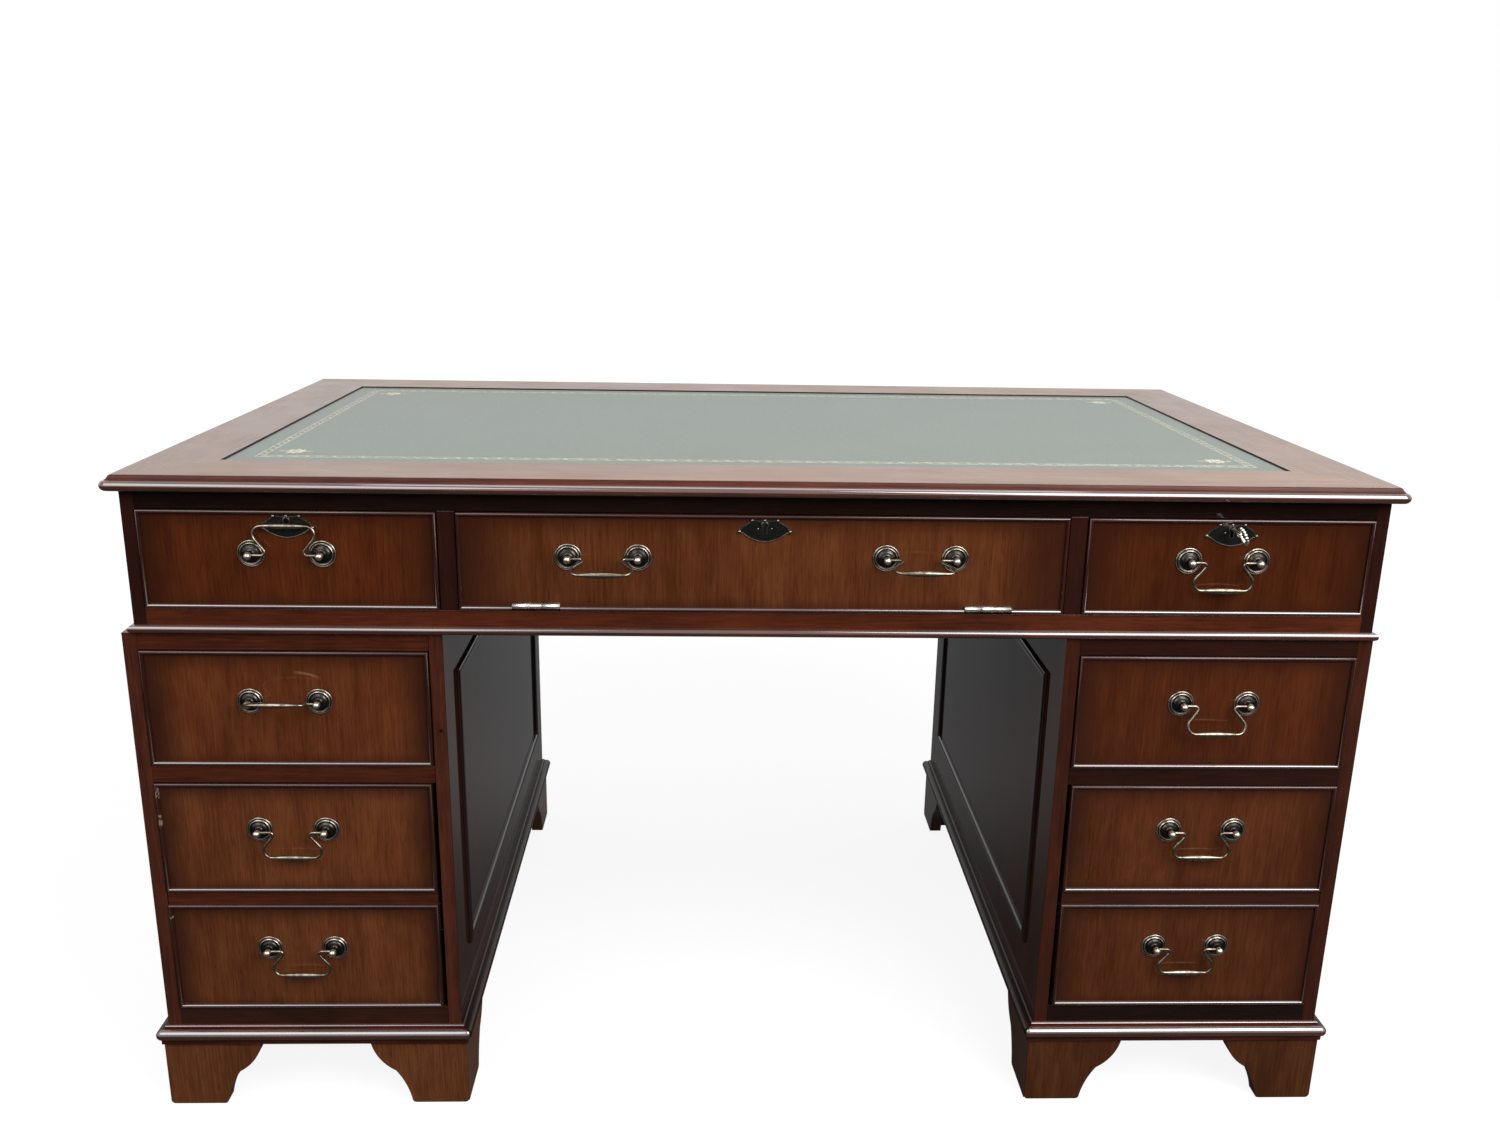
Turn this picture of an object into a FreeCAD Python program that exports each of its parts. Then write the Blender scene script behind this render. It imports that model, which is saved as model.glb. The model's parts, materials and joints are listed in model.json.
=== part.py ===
"""Twin-pedestal writing desk with a leather top, a drop-front keyboard tray and two filing drawers.

The desk stands on the floor at z = 0. Its front looks along -Y and +X is to the right of someone
sitting at it. The pieces are drawn about the middle of the front face of the carcass, and are
moved at the end so that the origin is on the floor under the middle of the desk's outline.
"""
import FreeCAD
import Part
import math
import os

V = FreeCAD.Vector
X = V(1, 0, 0)
Y = V(0, 1, 0)
Z = V(0, 0, 1)

# The whole desk
desk_width = 1372.0
desk_depth = 774.0
desk_height = 760.0

# The top
top_thickness = 17.0
top_overhang = 16.0
edge_moulding_width = 11.2
edge_quirk = 0.9
edge_nose_radius = 5.4
edge_nose_back = 5.8
border_width = 83.0
leather_thickness = 0.8
leather_recess = 2.4
leather_joint = 0.1

# The carcass of the top section
end_thickness = 14.0
muntin_width = 18.5
side_opening_width = 311.5
frieze_opening_height = 109.0
frieze_top_rail_height = 19.5
frieze_bottom_rail_height = 27.5
rail_depth = 40.0
frieze_top_rail_depth = 19.6
back_thickness = 12.0
frieze_bead_height = 9.0
frieze_bead_proud = 5.4

# The pedestals
pedestal_width = 340.0
left_pedestal_outset = 14.5
right_pedestal_outset = 2.8
side_thickness = 15.5
top_rail_height = 19.0
pedestal_drawer_opening = 135.0
middle_rail_height = 20.0
bottom_rail_height = 21.5
board_thickness = 16.0
panel_margin = 62.0
panel_foot_margin = 66.5
panel_moulding_width = 12.0
panel_moulding_proud = 4.6

# The plinth moulding and the bracket feet
foot_height = 83.0
plinth_height = 22.5
plinth_proud = 12.5
plinth_torus_radius = 6.4
plinth_torus_drop = 10.5
plinth_step_height = 1.0
plinth_step_proud = 3.4
plinth_fillet_proud = 7.6
foot_proud = 5.2
foot_base = 66.0
foot_spur = 46.0
foot_thickness = 18.0
foot_block = 34.0
foot_block_lift = 4.0
foot_toe_radius = 5.0
foot_heel_radius = 3.5

# The drawer fronts and their cock beads
front_thickness = 18.0
front_gap = 1.0
bead_width = 4.0
bead_proud = 3.0
bead_depth = 6.0
false_rail_height = 17.0
filing_side_gap = 3.4

# The drawer boxes, their runners and their slides
box_side_thickness = 12.0
box_bottom_thickness = 6.0
box_depth = 560.0
box_head_room = 18.0
filing_head_room = 40.0
runner_width = 16.0
runner_clearance = 0.4
side_clearance = 1.2
slide_gap = 12.7
slide_height = 36.0
slide_length = 500.0
tray_slide_length = 350.0
slide_wall = 1.5
slide_play = 0.4
slide_height_above_floor = 90.0
roller_width = 6.0
tongue_reach = 2.0

# The keyboard tray and its drop front
tray_depth = 340.0
tray_board_thickness = 12.0
tray_rail_height = 40.0
tray_front_gap = 0.9
drop_front_bevel_width = 9.0
drop_front_bevel_height = 1.6
hinge_length = 51.0
hinge_middle_knuckle = 12.0
hinge_radius = 3.1
hinge_pin_radius = 1.3
hinge_pin_play = 0.08
hinge_out = 1.8
hinge_rise = 4.8
hinge_inset = 83.0
leaf_thickness = 1.2
leaf_play = 0.3
upper_leaf_width = 15.0
lower_leaf_width = 40.0

# The bail handles: a stepped rose with a drilled post at each end, and a swan-neck bail
handle_centres = 74.0
rose_radius = 14.6
rose_step_radius = 12.2
rose_boss_radius = 8.6
rose_thickness = 1.4
rose_step_height = 1.3
rose_boss_height = 1.5
post_radius = 3.9
ball_radius = 4.1
ball_out = 12.4
pivot_out = 8.6
bail_radius = 1.6
bail_play = 0.1
bail_grip_radius = 3.3
bail_drop = 31.0
bail_stub = 13.2
bail_stub_start = 1.2
bail_neck_radius = 3.4
bail_shoulder_radius = 9.0
bail_shoulder_in = 14.0
bail_post_hole_end = 1.0

# The escutcheons, the locks and the key
escutcheon_width = 58.0
escutcheon_rise = 4.9
escutcheon_fall = 18.6
escutcheon_thickness = 1.1
escutcheon_ball_radius = 2.1
escutcheon_bump_radius = 2.0
keyhole_radius = 3.0
keyhole_slot = 3.2
keyhole_drop = 9.0
keyhole_wood_play = 1.4
keyhole_below_top = 11.0
lock_width = 50.0
lock_height = 34.0
lock_thickness = 10.0
lock_cavity_radius = 8.5
lock_wall = 2.0
bolt_width = 15.0
bolt_thickness = 4.0
bolt_length = 26.0
bolt_throw = 8.0
bolt_play = 0.3
key_shank_radius = 2.3
key_shank_out = 22.0
key_bow_radius = 8.2
key_bow_wire = 1.9
key_collar_radius = 3.4
key_collar_set_back = 3.8
key_bit_width = 3.0
key_bit_length = 6.0
key_tilt = 22.0
key_play = 0.1
overrun = 5.0

# The ogee of a bracket foot, as shares of its spur and of its height
ogee_low_share = (0.16, 0.30)
ogee_turn_share = (0.40, 0.53)
ogee_high_share = (0.80, 0.73)

# The outline of an escutcheon, as shares of its half width and of its fall
escutcheon_bump_share = 0.465
escutcheon_tip_share = 0.39
escutcheon_shoulder_shares = (0.83, -0.10)
escutcheon_corner_shares = (0.80, -0.50)
escutcheon_belly_shares = (0.42, -0.86)

# Where the drop front's handles lie, as a share of the way from its middle to its end
centre_handle_share = 0.522

# Where each handle lies from the middle of its panel: how far to the right, and how far up
off_middle = {
    "left_frieze": (-2.3, 6.8),
    "centre_left": (-0.9, 5.7),
    "centre_right": (-2.9, 7.1),
    "right_frieze": (-6.2, 7.1),
    "left_pedestal": (-3.2, 9.0),
    "left_filing_upper": (-4.4, 10.9),
    "left_filing_lower": (-5.3, 11.6),
    "right_pedestal": (0.5, 11.3),
    "right_filing_upper": (1.6, 11.9),
    "right_filing_lower": (-0.5, 12.5),
}

# How high each bail is raised from hanging, in degrees, as the photograph shows them
raised = {
    "left_frieze": 186.0,
    "centre_left": 73.0,
    "centre_right": 79.0,
    "right_frieze": 0.0,
    "left_pedestal": 109.0,
    "left_filing_upper": 0.0,
    "left_filing_lower": 0.0,
    "right_pedestal": 18.0,
    "right_filing_upper": 0.0,
    "right_filing_lower": 0.0,
}

# Sizes that follow from the ones above
frieze_width = desk_width - 2 * top_overhang
frieze_depth = desk_depth - 2 * top_overhang
frieze_top = desk_height - top_thickness
frieze_opening_top = frieze_top - frieze_top_rail_height
frieze_opening_bottom = frieze_opening_top - frieze_opening_height
pedestal_height = frieze_opening_bottom - frieze_bottom_rail_height
end_edge = frieze_width / 2 - end_thickness
side_edge = end_edge - side_opening_width
centre_edge = side_edge - muntin_width
left_pedestal_centre = pedestal_width / 2 - frieze_width / 2 - left_pedestal_outset
right_pedestal_centre = frieze_width / 2 + right_pedestal_outset - pedestal_width / 2
plinth_top = foot_height + plinth_height
pedestal_opening_top = pedestal_height - top_rail_height
middle_rail_top = pedestal_opening_top - pedestal_drawer_opening
filing_top = middle_rail_top - middle_rail_height
filing_bottom = plinth_top + bottom_rail_height
pedestal_inside = pedestal_width - 2 * side_thickness
let_in_lock_near = front_thickness - lock_thickness

pieces = {}
pivots = {}


def box(x0, x1, y0, y1, z0, z1):
    """A block between two corners."""
    return Part.makeBox(x1 - x0, y1 - y0, z1 - z0, V(x0, y0, z0))


def rod(start, direction, length, radius):
    """A round rod."""
    return Part.makeCylinder(radius, length, start, direction)


def wire_from(steps, place):
    """A closed wire: a step is a corner, or the middle and the end of an arc."""
    edges = []
    here = steps[0]
    for step in steps[1:]:
        if isinstance(step[0], tuple):
            middle, end = step
            edges.append(Part.Arc(place(*here), place(*middle), place(*end)).toShape())
        else:
            end = step
            edges.append(Part.LineSegment(place(*here), place(*end)).toShape())
        here = end
    if here != steps[0]:
        edges.append(Part.LineSegment(place(*here), place(*steps[0])).toShape())
    return Part.Wire(edges)


def slab(steps, place, thickness):
    """The outline drawn on a plane and given a thickness."""
    return Part.Face(wire_from(steps, place)).extrude(thickness)


def moulding_run(steps, start, along, outward, up, length, mitre):
    """One mitred length of moulding: the profile is drawn outward and up, and runs along."""
    reaches = [step[-1][0] if isinstance(step[0], tuple) else step[0] for step in steps]
    low = min(reaches) - overrun
    high = max(reaches) + overrun
    before = start - along * (abs(low) + abs(high))
    strip = slab(steps, lambda out, rise: before + outward * out + up * rise,
                 along * (length + 2 * (abs(low) + abs(high))))
    rises = [step[-1][1] if isinstance(step[0], tuple) else step[1] for step in steps]
    floor = start + up * (min(rises) - overrun)
    corners = [(-mitre * low, low), (length + mitre * low, low),
               (length + mitre * high, high), (-mitre * high, high)]
    cutter = slab(corners, lambda run, out: floor + along * run + outward * out,
                  up * (max(rises) - min(rises) + 2 * overrun))
    return strip.common(cutter).Solids[0]


def moulding_ring(steps, corner, a, b, up, length_a, length_b, outwards):
    """Four mitred lengths of moulding round a rectangle, outside it or inside it."""
    mitre = 1 if outwards else -1
    sides = [
        (corner, a, -b, length_a),
        (corner + a * length_a, b, a, length_b),
        (corner + a * length_a + b * length_b, -a, b, length_a),
        (corner + b * length_b, -b, -a, length_b),
    ]
    return [moulding_run(steps, start, along, out * mitre, up, length, mitre)
            for start, along, out, length in sides]


def add(node, solids):
    """Keeps the solids of one sub-part under its name."""
    pieces.setdefault(node, []).extend(solids)


def make_top():
    """The framed top with its moulded edge and the leather let into it."""
    half = desk_width / 2 - edge_moulding_width
    front = edge_moulding_width - top_overhang
    back = frieze_depth + top_overhang - edge_moulding_width
    board = box(-half, half, front, back, frieze_top, desk_height)
    inner = half - border_width
    near = front + border_width
    far = back - border_width
    board = board.cut(box(-inner, inner, near, far, desk_height - leather_recess, desk_height + overrun))
    add("top_board", [board])
    add("leather_skiver", [box(-inner + leather_joint, inner - leather_joint,
                               near + leather_joint, far - leather_joint,
                               desk_height - leather_recess,
                               desk_height - leather_recess + leather_thickness)])
    nose = edge_moulding_width - edge_nose_radius
    middle = top_thickness - edge_nose_back - edge_nose_radius
    step = top_thickness - edge_quirk
    slope = middle + edge_nose_radius
    hollow = ((edge_quirk + nose) / 2, (slope + step) / 2 - edge_quirk / 2)
    profile = [
        (0, 0),
        (nose, 0),
        (nose, middle - edge_nose_radius),
        ((edge_moulding_width, middle), (nose, slope)),
        (hollow, (edge_quirk, step)),
        (0, step),
    ]
    corner = V(-half, front, frieze_top)
    add("top_edge_moulding", moulding_ring(profile, corner, X, Y, Z, 2 * half, back - front, True))


def make_frieze():
    """The top section that holds the three upper drawers."""
    back = frieze_depth - back_thickness
    add("frieze_rails", [
        box(-end_edge, end_edge, 0, frieze_top_rail_depth, frieze_opening_top, frieze_top),
        box(-end_edge, end_edge, 0, rail_depth, pedestal_height, frieze_opening_bottom),
    ])
    for side in (-1, 1):
        edges = sorted((side * centre_edge, side * side_edge))
        ends = sorted((side * end_edge, side * (end_edge + end_thickness)))
        add("frieze_rails", [box(*edges, 0, rail_depth, frieze_opening_bottom, frieze_opening_top)])
        add("frieze_uprights", [
            box(*edges, rail_depth, back, pedestal_height, frieze_top),
            box(*ends, 0, frieze_depth, pedestal_height, frieze_top),
        ])
        make_runners(*sorted((side * side_edge, side * end_edge)), rail_depth, back,
                     frieze_opening_bottom, frieze_opening_top)
    add("frieze_back_board", [box(-end_edge, end_edge, back, frieze_depth, pedestal_height, frieze_top)])
    middle = frieze_bead_height / 2
    land = frieze_bead_proud - middle
    profile = [
        (0, 0),
        (land, 0),
        ((frieze_bead_proud, middle), (land, frieze_bead_height)),
        (0, frieze_bead_height),
    ]
    corner = V(-frieze_width / 2, 0, pedestal_height)
    add("frieze_bead_moulding",
        moulding_ring(profile, corner, X, Y, Z, frieze_width, frieze_depth, True))
    rails = pieces["frieze_rails"]
    for middle in (-(side_edge + end_edge) / 2, 0):
        rails[0] = rails[0].cut(box(middle - bolt_width / 2 - bolt_play, middle + bolt_width / 2 + bolt_play,
                                    let_in_lock_near + lock_wall - bolt_play,
                                    let_in_lock_near + lock_wall + bolt_thickness + bolt_play,
                                    frieze_opening_top - overrun,
                                    frieze_opening_top + bolt_throw + bolt_play))


def make_runners(x0, x1, y0, y1, bottom, top):
    """The strips that a wooden drawer runs on, and the ones above that keep it from tipping."""
    for low, high in ((x0, x0 + runner_width), (x1 - runner_width, x1)):
        add("drawer_runners", [
            box(low, high, y0, y1, bottom - runner_width, bottom),
            box(low, high, y0, y1, top - runner_clearance, top - runner_clearance + runner_width),
        ])


def make_pedestal(side, centre):
    """One pedestal's carcass, its panel mouldings, its plinth moulding and its feet."""
    left = centre - pedestal_width / 2
    right = centre + pedestal_width / 2
    inner_left = left + side_thickness
    inner_right = right - side_thickness
    back = frieze_depth - back_thickness
    add(side + "_pedestal_sides", [
        box(left, inner_left, 0, frieze_depth, foot_height, pedestal_height),
        box(inner_right, right, 0, frieze_depth, foot_height, pedestal_height),
    ])
    add(side + "_pedestal_back", [
        box(inner_left, inner_right, back, frieze_depth, foot_height, pedestal_height)])
    add(side + "_pedestal_rails", [
        box(inner_left, inner_right, 0, rail_depth, pedestal_opening_top, pedestal_height),
        box(inner_left, inner_right, 0, rail_depth, filing_top, middle_rail_top),
        box(inner_left, inner_right, 0, front_thickness, foot_height, filing_bottom),
    ])
    add(side + "_pedestal_boards", [
        box(inner_left, inner_right, rail_depth, back, pedestal_height - board_thickness, pedestal_height),
        box(inner_left, inner_right, front_thickness, back, plinth_top - board_thickness, plinth_top),
    ])
    for low, high in ((inner_left, inner_left + runner_width), (inner_right - runner_width, inner_right)):
        add("drawer_runners", [
            box(low, high, rail_depth, back, middle_rail_top - runner_width, middle_rail_top)])
    make_panel_mouldings(side, left, right)
    make_plinth(side, left, right)
    make_feet(side, left, right)


def make_panel_mouldings(side, left, right):
    """The applied mouldings that frame the panels on the two sides and the back."""
    half = panel_moulding_width / 2
    lip = panel_moulding_proud / 3
    profile = [
        (0, 0),
        (panel_moulding_width, 0),
        (panel_moulding_width, lip),
        ((half, panel_moulding_proud), (0, lip)),
    ]
    bottom = plinth_top + panel_foot_margin
    height = pedestal_height - panel_margin - bottom
    depth = frieze_depth - 2 * panel_margin
    width = pedestal_width - 2 * panel_margin
    add(side + "_panel_mouldings", moulding_ring(
        profile, V(left, panel_margin, bottom), Y, Z, -X, depth, height, False))
    add(side + "_panel_mouldings", moulding_ring(
        profile, V(right, panel_margin, bottom), Y, Z, X, depth, height, False))
    add(side + "_panel_mouldings", moulding_ring(
        profile, V(left + panel_margin, frieze_depth, bottom), X, Z, Y, width, height, False))


def make_plinth(side, left, right):
    """The stepped torus moulding round the foot of a pedestal."""
    axis = plinth_height - plinth_torus_drop
    shoulder = plinth_proud - plinth_torus_radius
    dip = math.sqrt(plinth_torus_radius ** 2 - (plinth_fillet_proud - shoulder) ** 2)
    profile = [
        (0, 0),
        (plinth_fillet_proud, 0),
        (plinth_fillet_proud, axis - dip),
        ((plinth_proud, axis), (shoulder, axis + plinth_torus_radius)),
        (plinth_step_proud, axis + plinth_torus_radius),
        (plinth_step_proud, plinth_height - plinth_step_height),
        (plinth_step_proud / 2, plinth_height),
        (0, plinth_height),
    ]
    add(side + "_plinth_moulding", moulding_ring(
        profile, V(left, 0, foot_height), X, Y, Z, right - left, frieze_depth, True))


def make_feet(side, left, right):
    """Four bracket feet, each of two mitred brackets with an ogee spur and a corner block."""
    corners = [
        (V(left - foot_proud, -foot_proud, 0), X, Y),
        (V(right + foot_proud, -foot_proud, 0), -X, Y),
        (V(left - foot_proud, frieze_depth + foot_proud, 0), X, -Y),
        (V(right + foot_proud, frieze_depth + foot_proud, 0), -X, -Y),
    ]
    tip = foot_base + foot_spur
    toe_middle = foot_toe_radius * (1 - math.sqrt(1 / 2))
    heel_middle = foot_heel_radius / 4
    outline = [(0, foot_toe_radius), ((toe_middle, toe_middle), (foot_toe_radius, 0))]
    outline.append((foot_base - foot_heel_radius, 0))
    outline.append(((foot_base - heel_middle, heel_middle), (foot_base + heel_middle, foot_heel_radius)))
    places = [(foot_base + foot_spur * run, foot_height * rise)
              for run, rise in (ogee_low_share, ogee_turn_share, ogee_high_share)]
    outline.append((places[0], places[1]))
    outline.append((places[2], (tip, foot_height)))
    outline.append((0, foot_height))
    mitre = [(0, 0), (tip, 0), (tip, foot_thickness), (foot_thickness, foot_thickness)]
    for corner, a, b in corners:
        for along, inward in ((a, b), (b, a)):
            bracket = slab(outline, lambda run, rise: corner + along * run + Z * rise,
                           inward * foot_thickness)
            wedge = slab(mitre, lambda run, depth: corner + along * run + inward * depth,
                         Z * foot_height)
            add(side + "_bracket_feet", bracket.common(wedge).Solids)
        near = corner + (a + b) * foot_thickness
        far = near + (a + b) * foot_block
        add(side + "_bracket_feet", [
            box(min(near.x, far.x), max(near.x, far.x), min(near.y, far.y), max(near.y, far.y),
                foot_block_lift, foot_height)])


def cock_beaded(x0, x1, z0, z1, panels):
    """A drawer front: the board, and the cock beads let into it round each panel."""
    half = bead_width / 2
    profile = [
        (0, -bead_depth),
        (bead_width, -bead_depth),
        (bead_width, bead_proud - half),
        ((half, bead_proud), (0, bead_proud - half)),
    ]
    board = box(x0, x1, 0, front_thickness, z0, z1)
    beads = []
    for low_x, high_x, low_z, high_z in panels:
        ring = box(low_x, high_x, 0, bead_depth, low_z, high_z).cut(
            box(low_x + bead_width, high_x - bead_width, 0, bead_depth,
                low_z + bead_width, high_z - bead_width))
        board = board.cut(ring)
        beads += moulding_ring(profile, V(low_x, 0, low_z), X, Z, -Y,
                               high_x - low_x, high_z - low_z, False)
    return board, beads


def make_box(node, x0, x1, z0, z1):
    """A drawer box behind its front: two sides, a back and a bottom."""
    near = front_thickness
    far = near + box_depth
    inner_low = x0 + box_side_thickness
    inner_high = x1 - box_side_thickness
    floor = z0 + box_bottom_thickness
    add(node, [
        box(x0, inner_low, near, far, z0, z1),
        box(inner_high, x1, near, far, z0, z1),
        box(inner_low, inner_high, far - box_side_thickness, far, floor, z1),
        box(inner_low, inner_high, near, far, z0, floor),
    ])


def rose(x, z, inward):
    """A stepped rose with its post, ball tip and the blind hole that the bail turns in."""
    step = rose_thickness + rose_step_height
    boss = step + rose_boss_height
    joint = ball_out - math.sqrt(ball_radius ** 2 - post_radius ** 2)
    side = ball_radius * math.cos(math.pi / 4)
    profile = [
        (0, 0),
        (rose_radius, 0),
        (rose_radius, rose_thickness),
        (rose_step_radius, rose_thickness),
        (rose_step_radius, step),
        (rose_boss_radius, step),
        ((rose_boss_radius - rose_boss_height / 2, step + rose_boss_height / 2), (post_radius, boss)),
        (post_radius, joint),
        ((side, ball_out + side), (0, ball_out + ball_radius)),
    ]
    face = Part.Face(wire_from(profile, lambda radius, out: V(x + radius, -out, z)))
    solid = face.revolve(V(x, 0, z), Y, 360)
    hole = rod(V(x - inward * bail_post_hole_end, -pivot_out, z), X * inward,
               rose_radius, bail_radius + bail_play)
    return solid.cut(hole)


def bail(x, z, angle):
    """A swan-neck bail, hanging from its two posts and then raised by an angle."""
    half = handle_centres / 2
    neck_u, neck_w = bail_stub, -bail_neck_radius
    shoulder_u, shoulder_w = bail_shoulder_in, bail_shoulder_radius - bail_drop
    apart = math.hypot(shoulder_u - neck_u, shoulder_w - neck_w)
    heading = math.atan2(shoulder_w - neck_w, shoulder_u - neck_u)
    turn = heading + math.acos((bail_neck_radius + bail_shoulder_radius) / apart)
    leave = (neck_u + bail_neck_radius * math.cos(turn), neck_w + bail_neck_radius * math.sin(turn))
    meet = (shoulder_u - bail_shoulder_radius * math.cos(turn),
            shoulder_w - bail_shoulder_radius * math.sin(turn))
    shapes = []
    for side in (-1, 1):
        def at(u, w, side=side):
            return V(x + side * (half - u), -pivot_out, z + w)

        def ring_face(u, w, along, at=at):
            circle = Part.makeCircle(bail_radius, at(u, w), along)
            return Part.Face(Part.Wire(circle))

        start = at(bail_stub_start, 0)
        end = at(neck_u, 0)
        shapes.append(rod(start, end - start, (end - start).Length, bail_radius))
        neck_angle = math.degrees(math.pi / 2 - turn)
        shapes.append(ring_face(neck_u, 0, X).revolve(at(neck_u, neck_w), Y, -side * neck_angle))
        start = at(*leave)
        end = at(*meet)
        shapes.append(rod(start, end - start, (end - start).Length, bail_radius))
        shoulder_angle = math.degrees(math.pi / 2 + turn)
        shapes.append(ring_face(shoulder_u, shoulder_w - bail_shoulder_radius, X).revolve(
            at(shoulder_u, shoulder_w), Y, -side * (180 - shoulder_angle)))
    grip = half - shoulder_u
    profile = [
        (-grip, 0),
        (-grip, bail_radius),
        ((0, bail_grip_radius), (grip, bail_radius)),
        (grip, 0),
    ]
    face = Part.Face(wire_from(profile, lambda run, out: V(x + run, -pivot_out, z - bail_drop + out)))
    shapes.append(face.revolve(V(x, -pivot_out, z - bail_drop), X, 360))
    whole = shapes[0].multiFuse(shapes[1:])
    whole.rotate(V(x, -pivot_out, z), -X, angle)
    return whole.Solids[0]


def make_handle(name, brass_node, x, z):
    """Two roses by a panel's middle, and the bail between them as a piece of its own."""
    half = handle_centres / 2
    x += off_middle[name][0]
    z += off_middle[name][1]
    add(brass_node, [rose(x - half, z, 1), rose(x + half, z, -1)])
    add(name + "_bail", [bail(x, z, raised[name])])
    pivots[name + "_bail_swing"] = (x, -pivot_out, z)


def escutcheon(x, z):
    """A pierced plate with three bumps above, a ball at each side and a bowed lower edge."""
    half = escutcheon_width / 2

    def at(run, rise):
        return V(x + run, 0, z + rise)

    def point(shares, sign):
        return (sign * half * shares[0], escutcheon_fall * shares[1])

    bump = half * escutcheon_bump_share
    tip = half - escutcheon_ball_radius
    tip_level = -escutcheon_fall * escutcheon_tip_share
    right = [
        (bump, escutcheon_rise),
        point(escutcheon_shoulder_shares, 1),
        (tip, tip_level),
        point(escutcheon_corner_shares, 1),
        (point(escutcheon_belly_shares, 1), (0, -escutcheon_fall)),
    ]
    left = [
        (point(escutcheon_belly_shares, -1), point(escutcheon_corner_shares, -1)),
        (-tip, tip_level),
        point(escutcheon_shoulder_shares, -1),
        (-bump, escutcheon_rise),
    ]
    plate = slab([(0, escutcheon_rise)] + right + left, at, -Y * escutcheon_thickness)
    for run in (-bump, 0, bump):
        plate = plate.fuse(rod(at(run, escutcheon_rise), -Y, escutcheon_thickness, escutcheon_bump_radius))
    for sign in (-1, 1):
        ball = Part.makeSphere(escutcheon_ball_radius, at(sign * tip, tip_level), -Y, 0, 90, 360)
        plate = plate.fuse(ball)
    hole = keyhole(x, z, -overrun, escutcheon_thickness + overrun, 0)
    return plate.cut(hole).Solids[0]


def keyhole(x, z, start, length, play):
    """The round and slot of a keyhole, as a cutter that runs outward from a start."""
    half = keyhole_slot / 2 + play
    circle = rod(V(x, -start, z), -Y, length, keyhole_radius + play)
    slot = box(x - half, x + half, -start - length, -start, z - keyhole_drop - play, z)
    return circle.fuse(slot)


def lock_parts(x, z, near, top):
    """A lock case that starts at a depth and ends at a height, and its bolt, drawn back."""
    case = box(x - lock_width / 2, x + lock_width / 2, near, near + lock_thickness, top - lock_height, top)
    cavity_depth = lock_thickness - 2 * lock_wall
    case = case.cut(rod(V(x, near + lock_wall, z), Y, cavity_depth, lock_cavity_radius))
    pin_hole = rod(V(x, near - overrun, z), Y, overrun + lock_wall + key_play, key_shank_radius + key_play)
    case = case.cut(pin_hole)
    way = box(x - bolt_width / 2 - bolt_play, x + bolt_width / 2 + bolt_play,
              near + lock_wall - bolt_play, near + lock_wall + bolt_thickness + bolt_play,
              top - bolt_length - bolt_play, top + overrun)
    bolt = box(x - bolt_width / 2, x + bolt_width / 2, near + lock_wall,
               near + lock_wall + bolt_thickness, top - bolt_length, top)
    reach = key_shank_radius + bolt_play
    window = box(x - reach, x + reach, near, near + lock_thickness, z - reach - bolt_throw, z + reach)
    return case.cut(way), bolt.cut(window)


def lock_seat(x, top):
    """What is cut out of the back of a front for a lock that is let in."""
    return box(x - lock_width / 2, x + lock_width / 2, let_in_lock_near, front_thickness + overrun,
               top - lock_height, top + overrun)


def make_key(x, z):
    """The key: a ring bow seen edge on, a shank and a bit inside the lock case."""
    end = front_thickness + lock_thickness - lock_wall - key_play
    shank = rod(V(x, -key_shank_out, z), Y, key_shank_out + end, key_shank_radius)
    bow_middle = key_shank_out + key_bow_radius
    bow = Part.makeTorus(key_bow_radius, key_bow_wire, V(x, -bow_middle, z), X)
    collar = rod(V(x, key_collar_set_back - key_shank_out, z), Y, key_bow_wire, key_collar_radius)
    bit = box(x - key_bit_width / 2, x + key_bit_width / 2,
              front_thickness + lock_wall + bolt_thickness + 2 * bolt_play, end,
              z - key_bit_length - key_play, z)
    key = shank.multiFuse([bow, collar, bit])
    key.rotate(V(x, 0, z), Y, -key_tilt)
    return key.Solids[0]


def make_frieze_drawer(side, sign):
    """One of the two locked drawers beside the keyboard tray."""
    edges = sorted((sign * side_edge, sign * end_edge))
    low_x = edges[0] + front_gap
    high_x = edges[1] - front_gap
    low_z = frieze_opening_bottom + front_gap
    high_z = frieze_opening_top - front_gap
    middle = (low_x + high_x) / 2
    level = high_z - keyhole_below_top
    board, beads = cock_beaded(low_x, high_x, low_z, high_z, [(low_x, high_x, low_z, high_z)])
    board = board.cut(keyhole(middle, level, -front_thickness - overrun,
                              front_thickness + 2 * overrun, keyhole_wood_play))
    lock_near = front_thickness
    if side == "left":
        lock_near = let_in_lock_near
        board = board.cut(lock_seat(middle, high_z))
    add(side + "_frieze_front", [board] + beads)
    make_box(side + "_frieze_box", edges[0] + side_clearance, edges[1] - side_clearance,
             frieze_opening_bottom + runner_clearance, high_z - box_head_room)
    case, bolt = lock_parts(middle, level, lock_near, high_z)
    brass = side + "_frieze_brassware"
    add(brass, [escutcheon(middle, level), case])
    if side == "right":
        add("lock_bolt", [bolt])
        add("key", [make_key(middle, level)])
        pivots["key_turn"] = (middle, 0, level)
    else:
        add(brass, [bolt])
    make_handle(side + "_frieze", brass, middle, (low_z + high_z) / 2)


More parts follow.
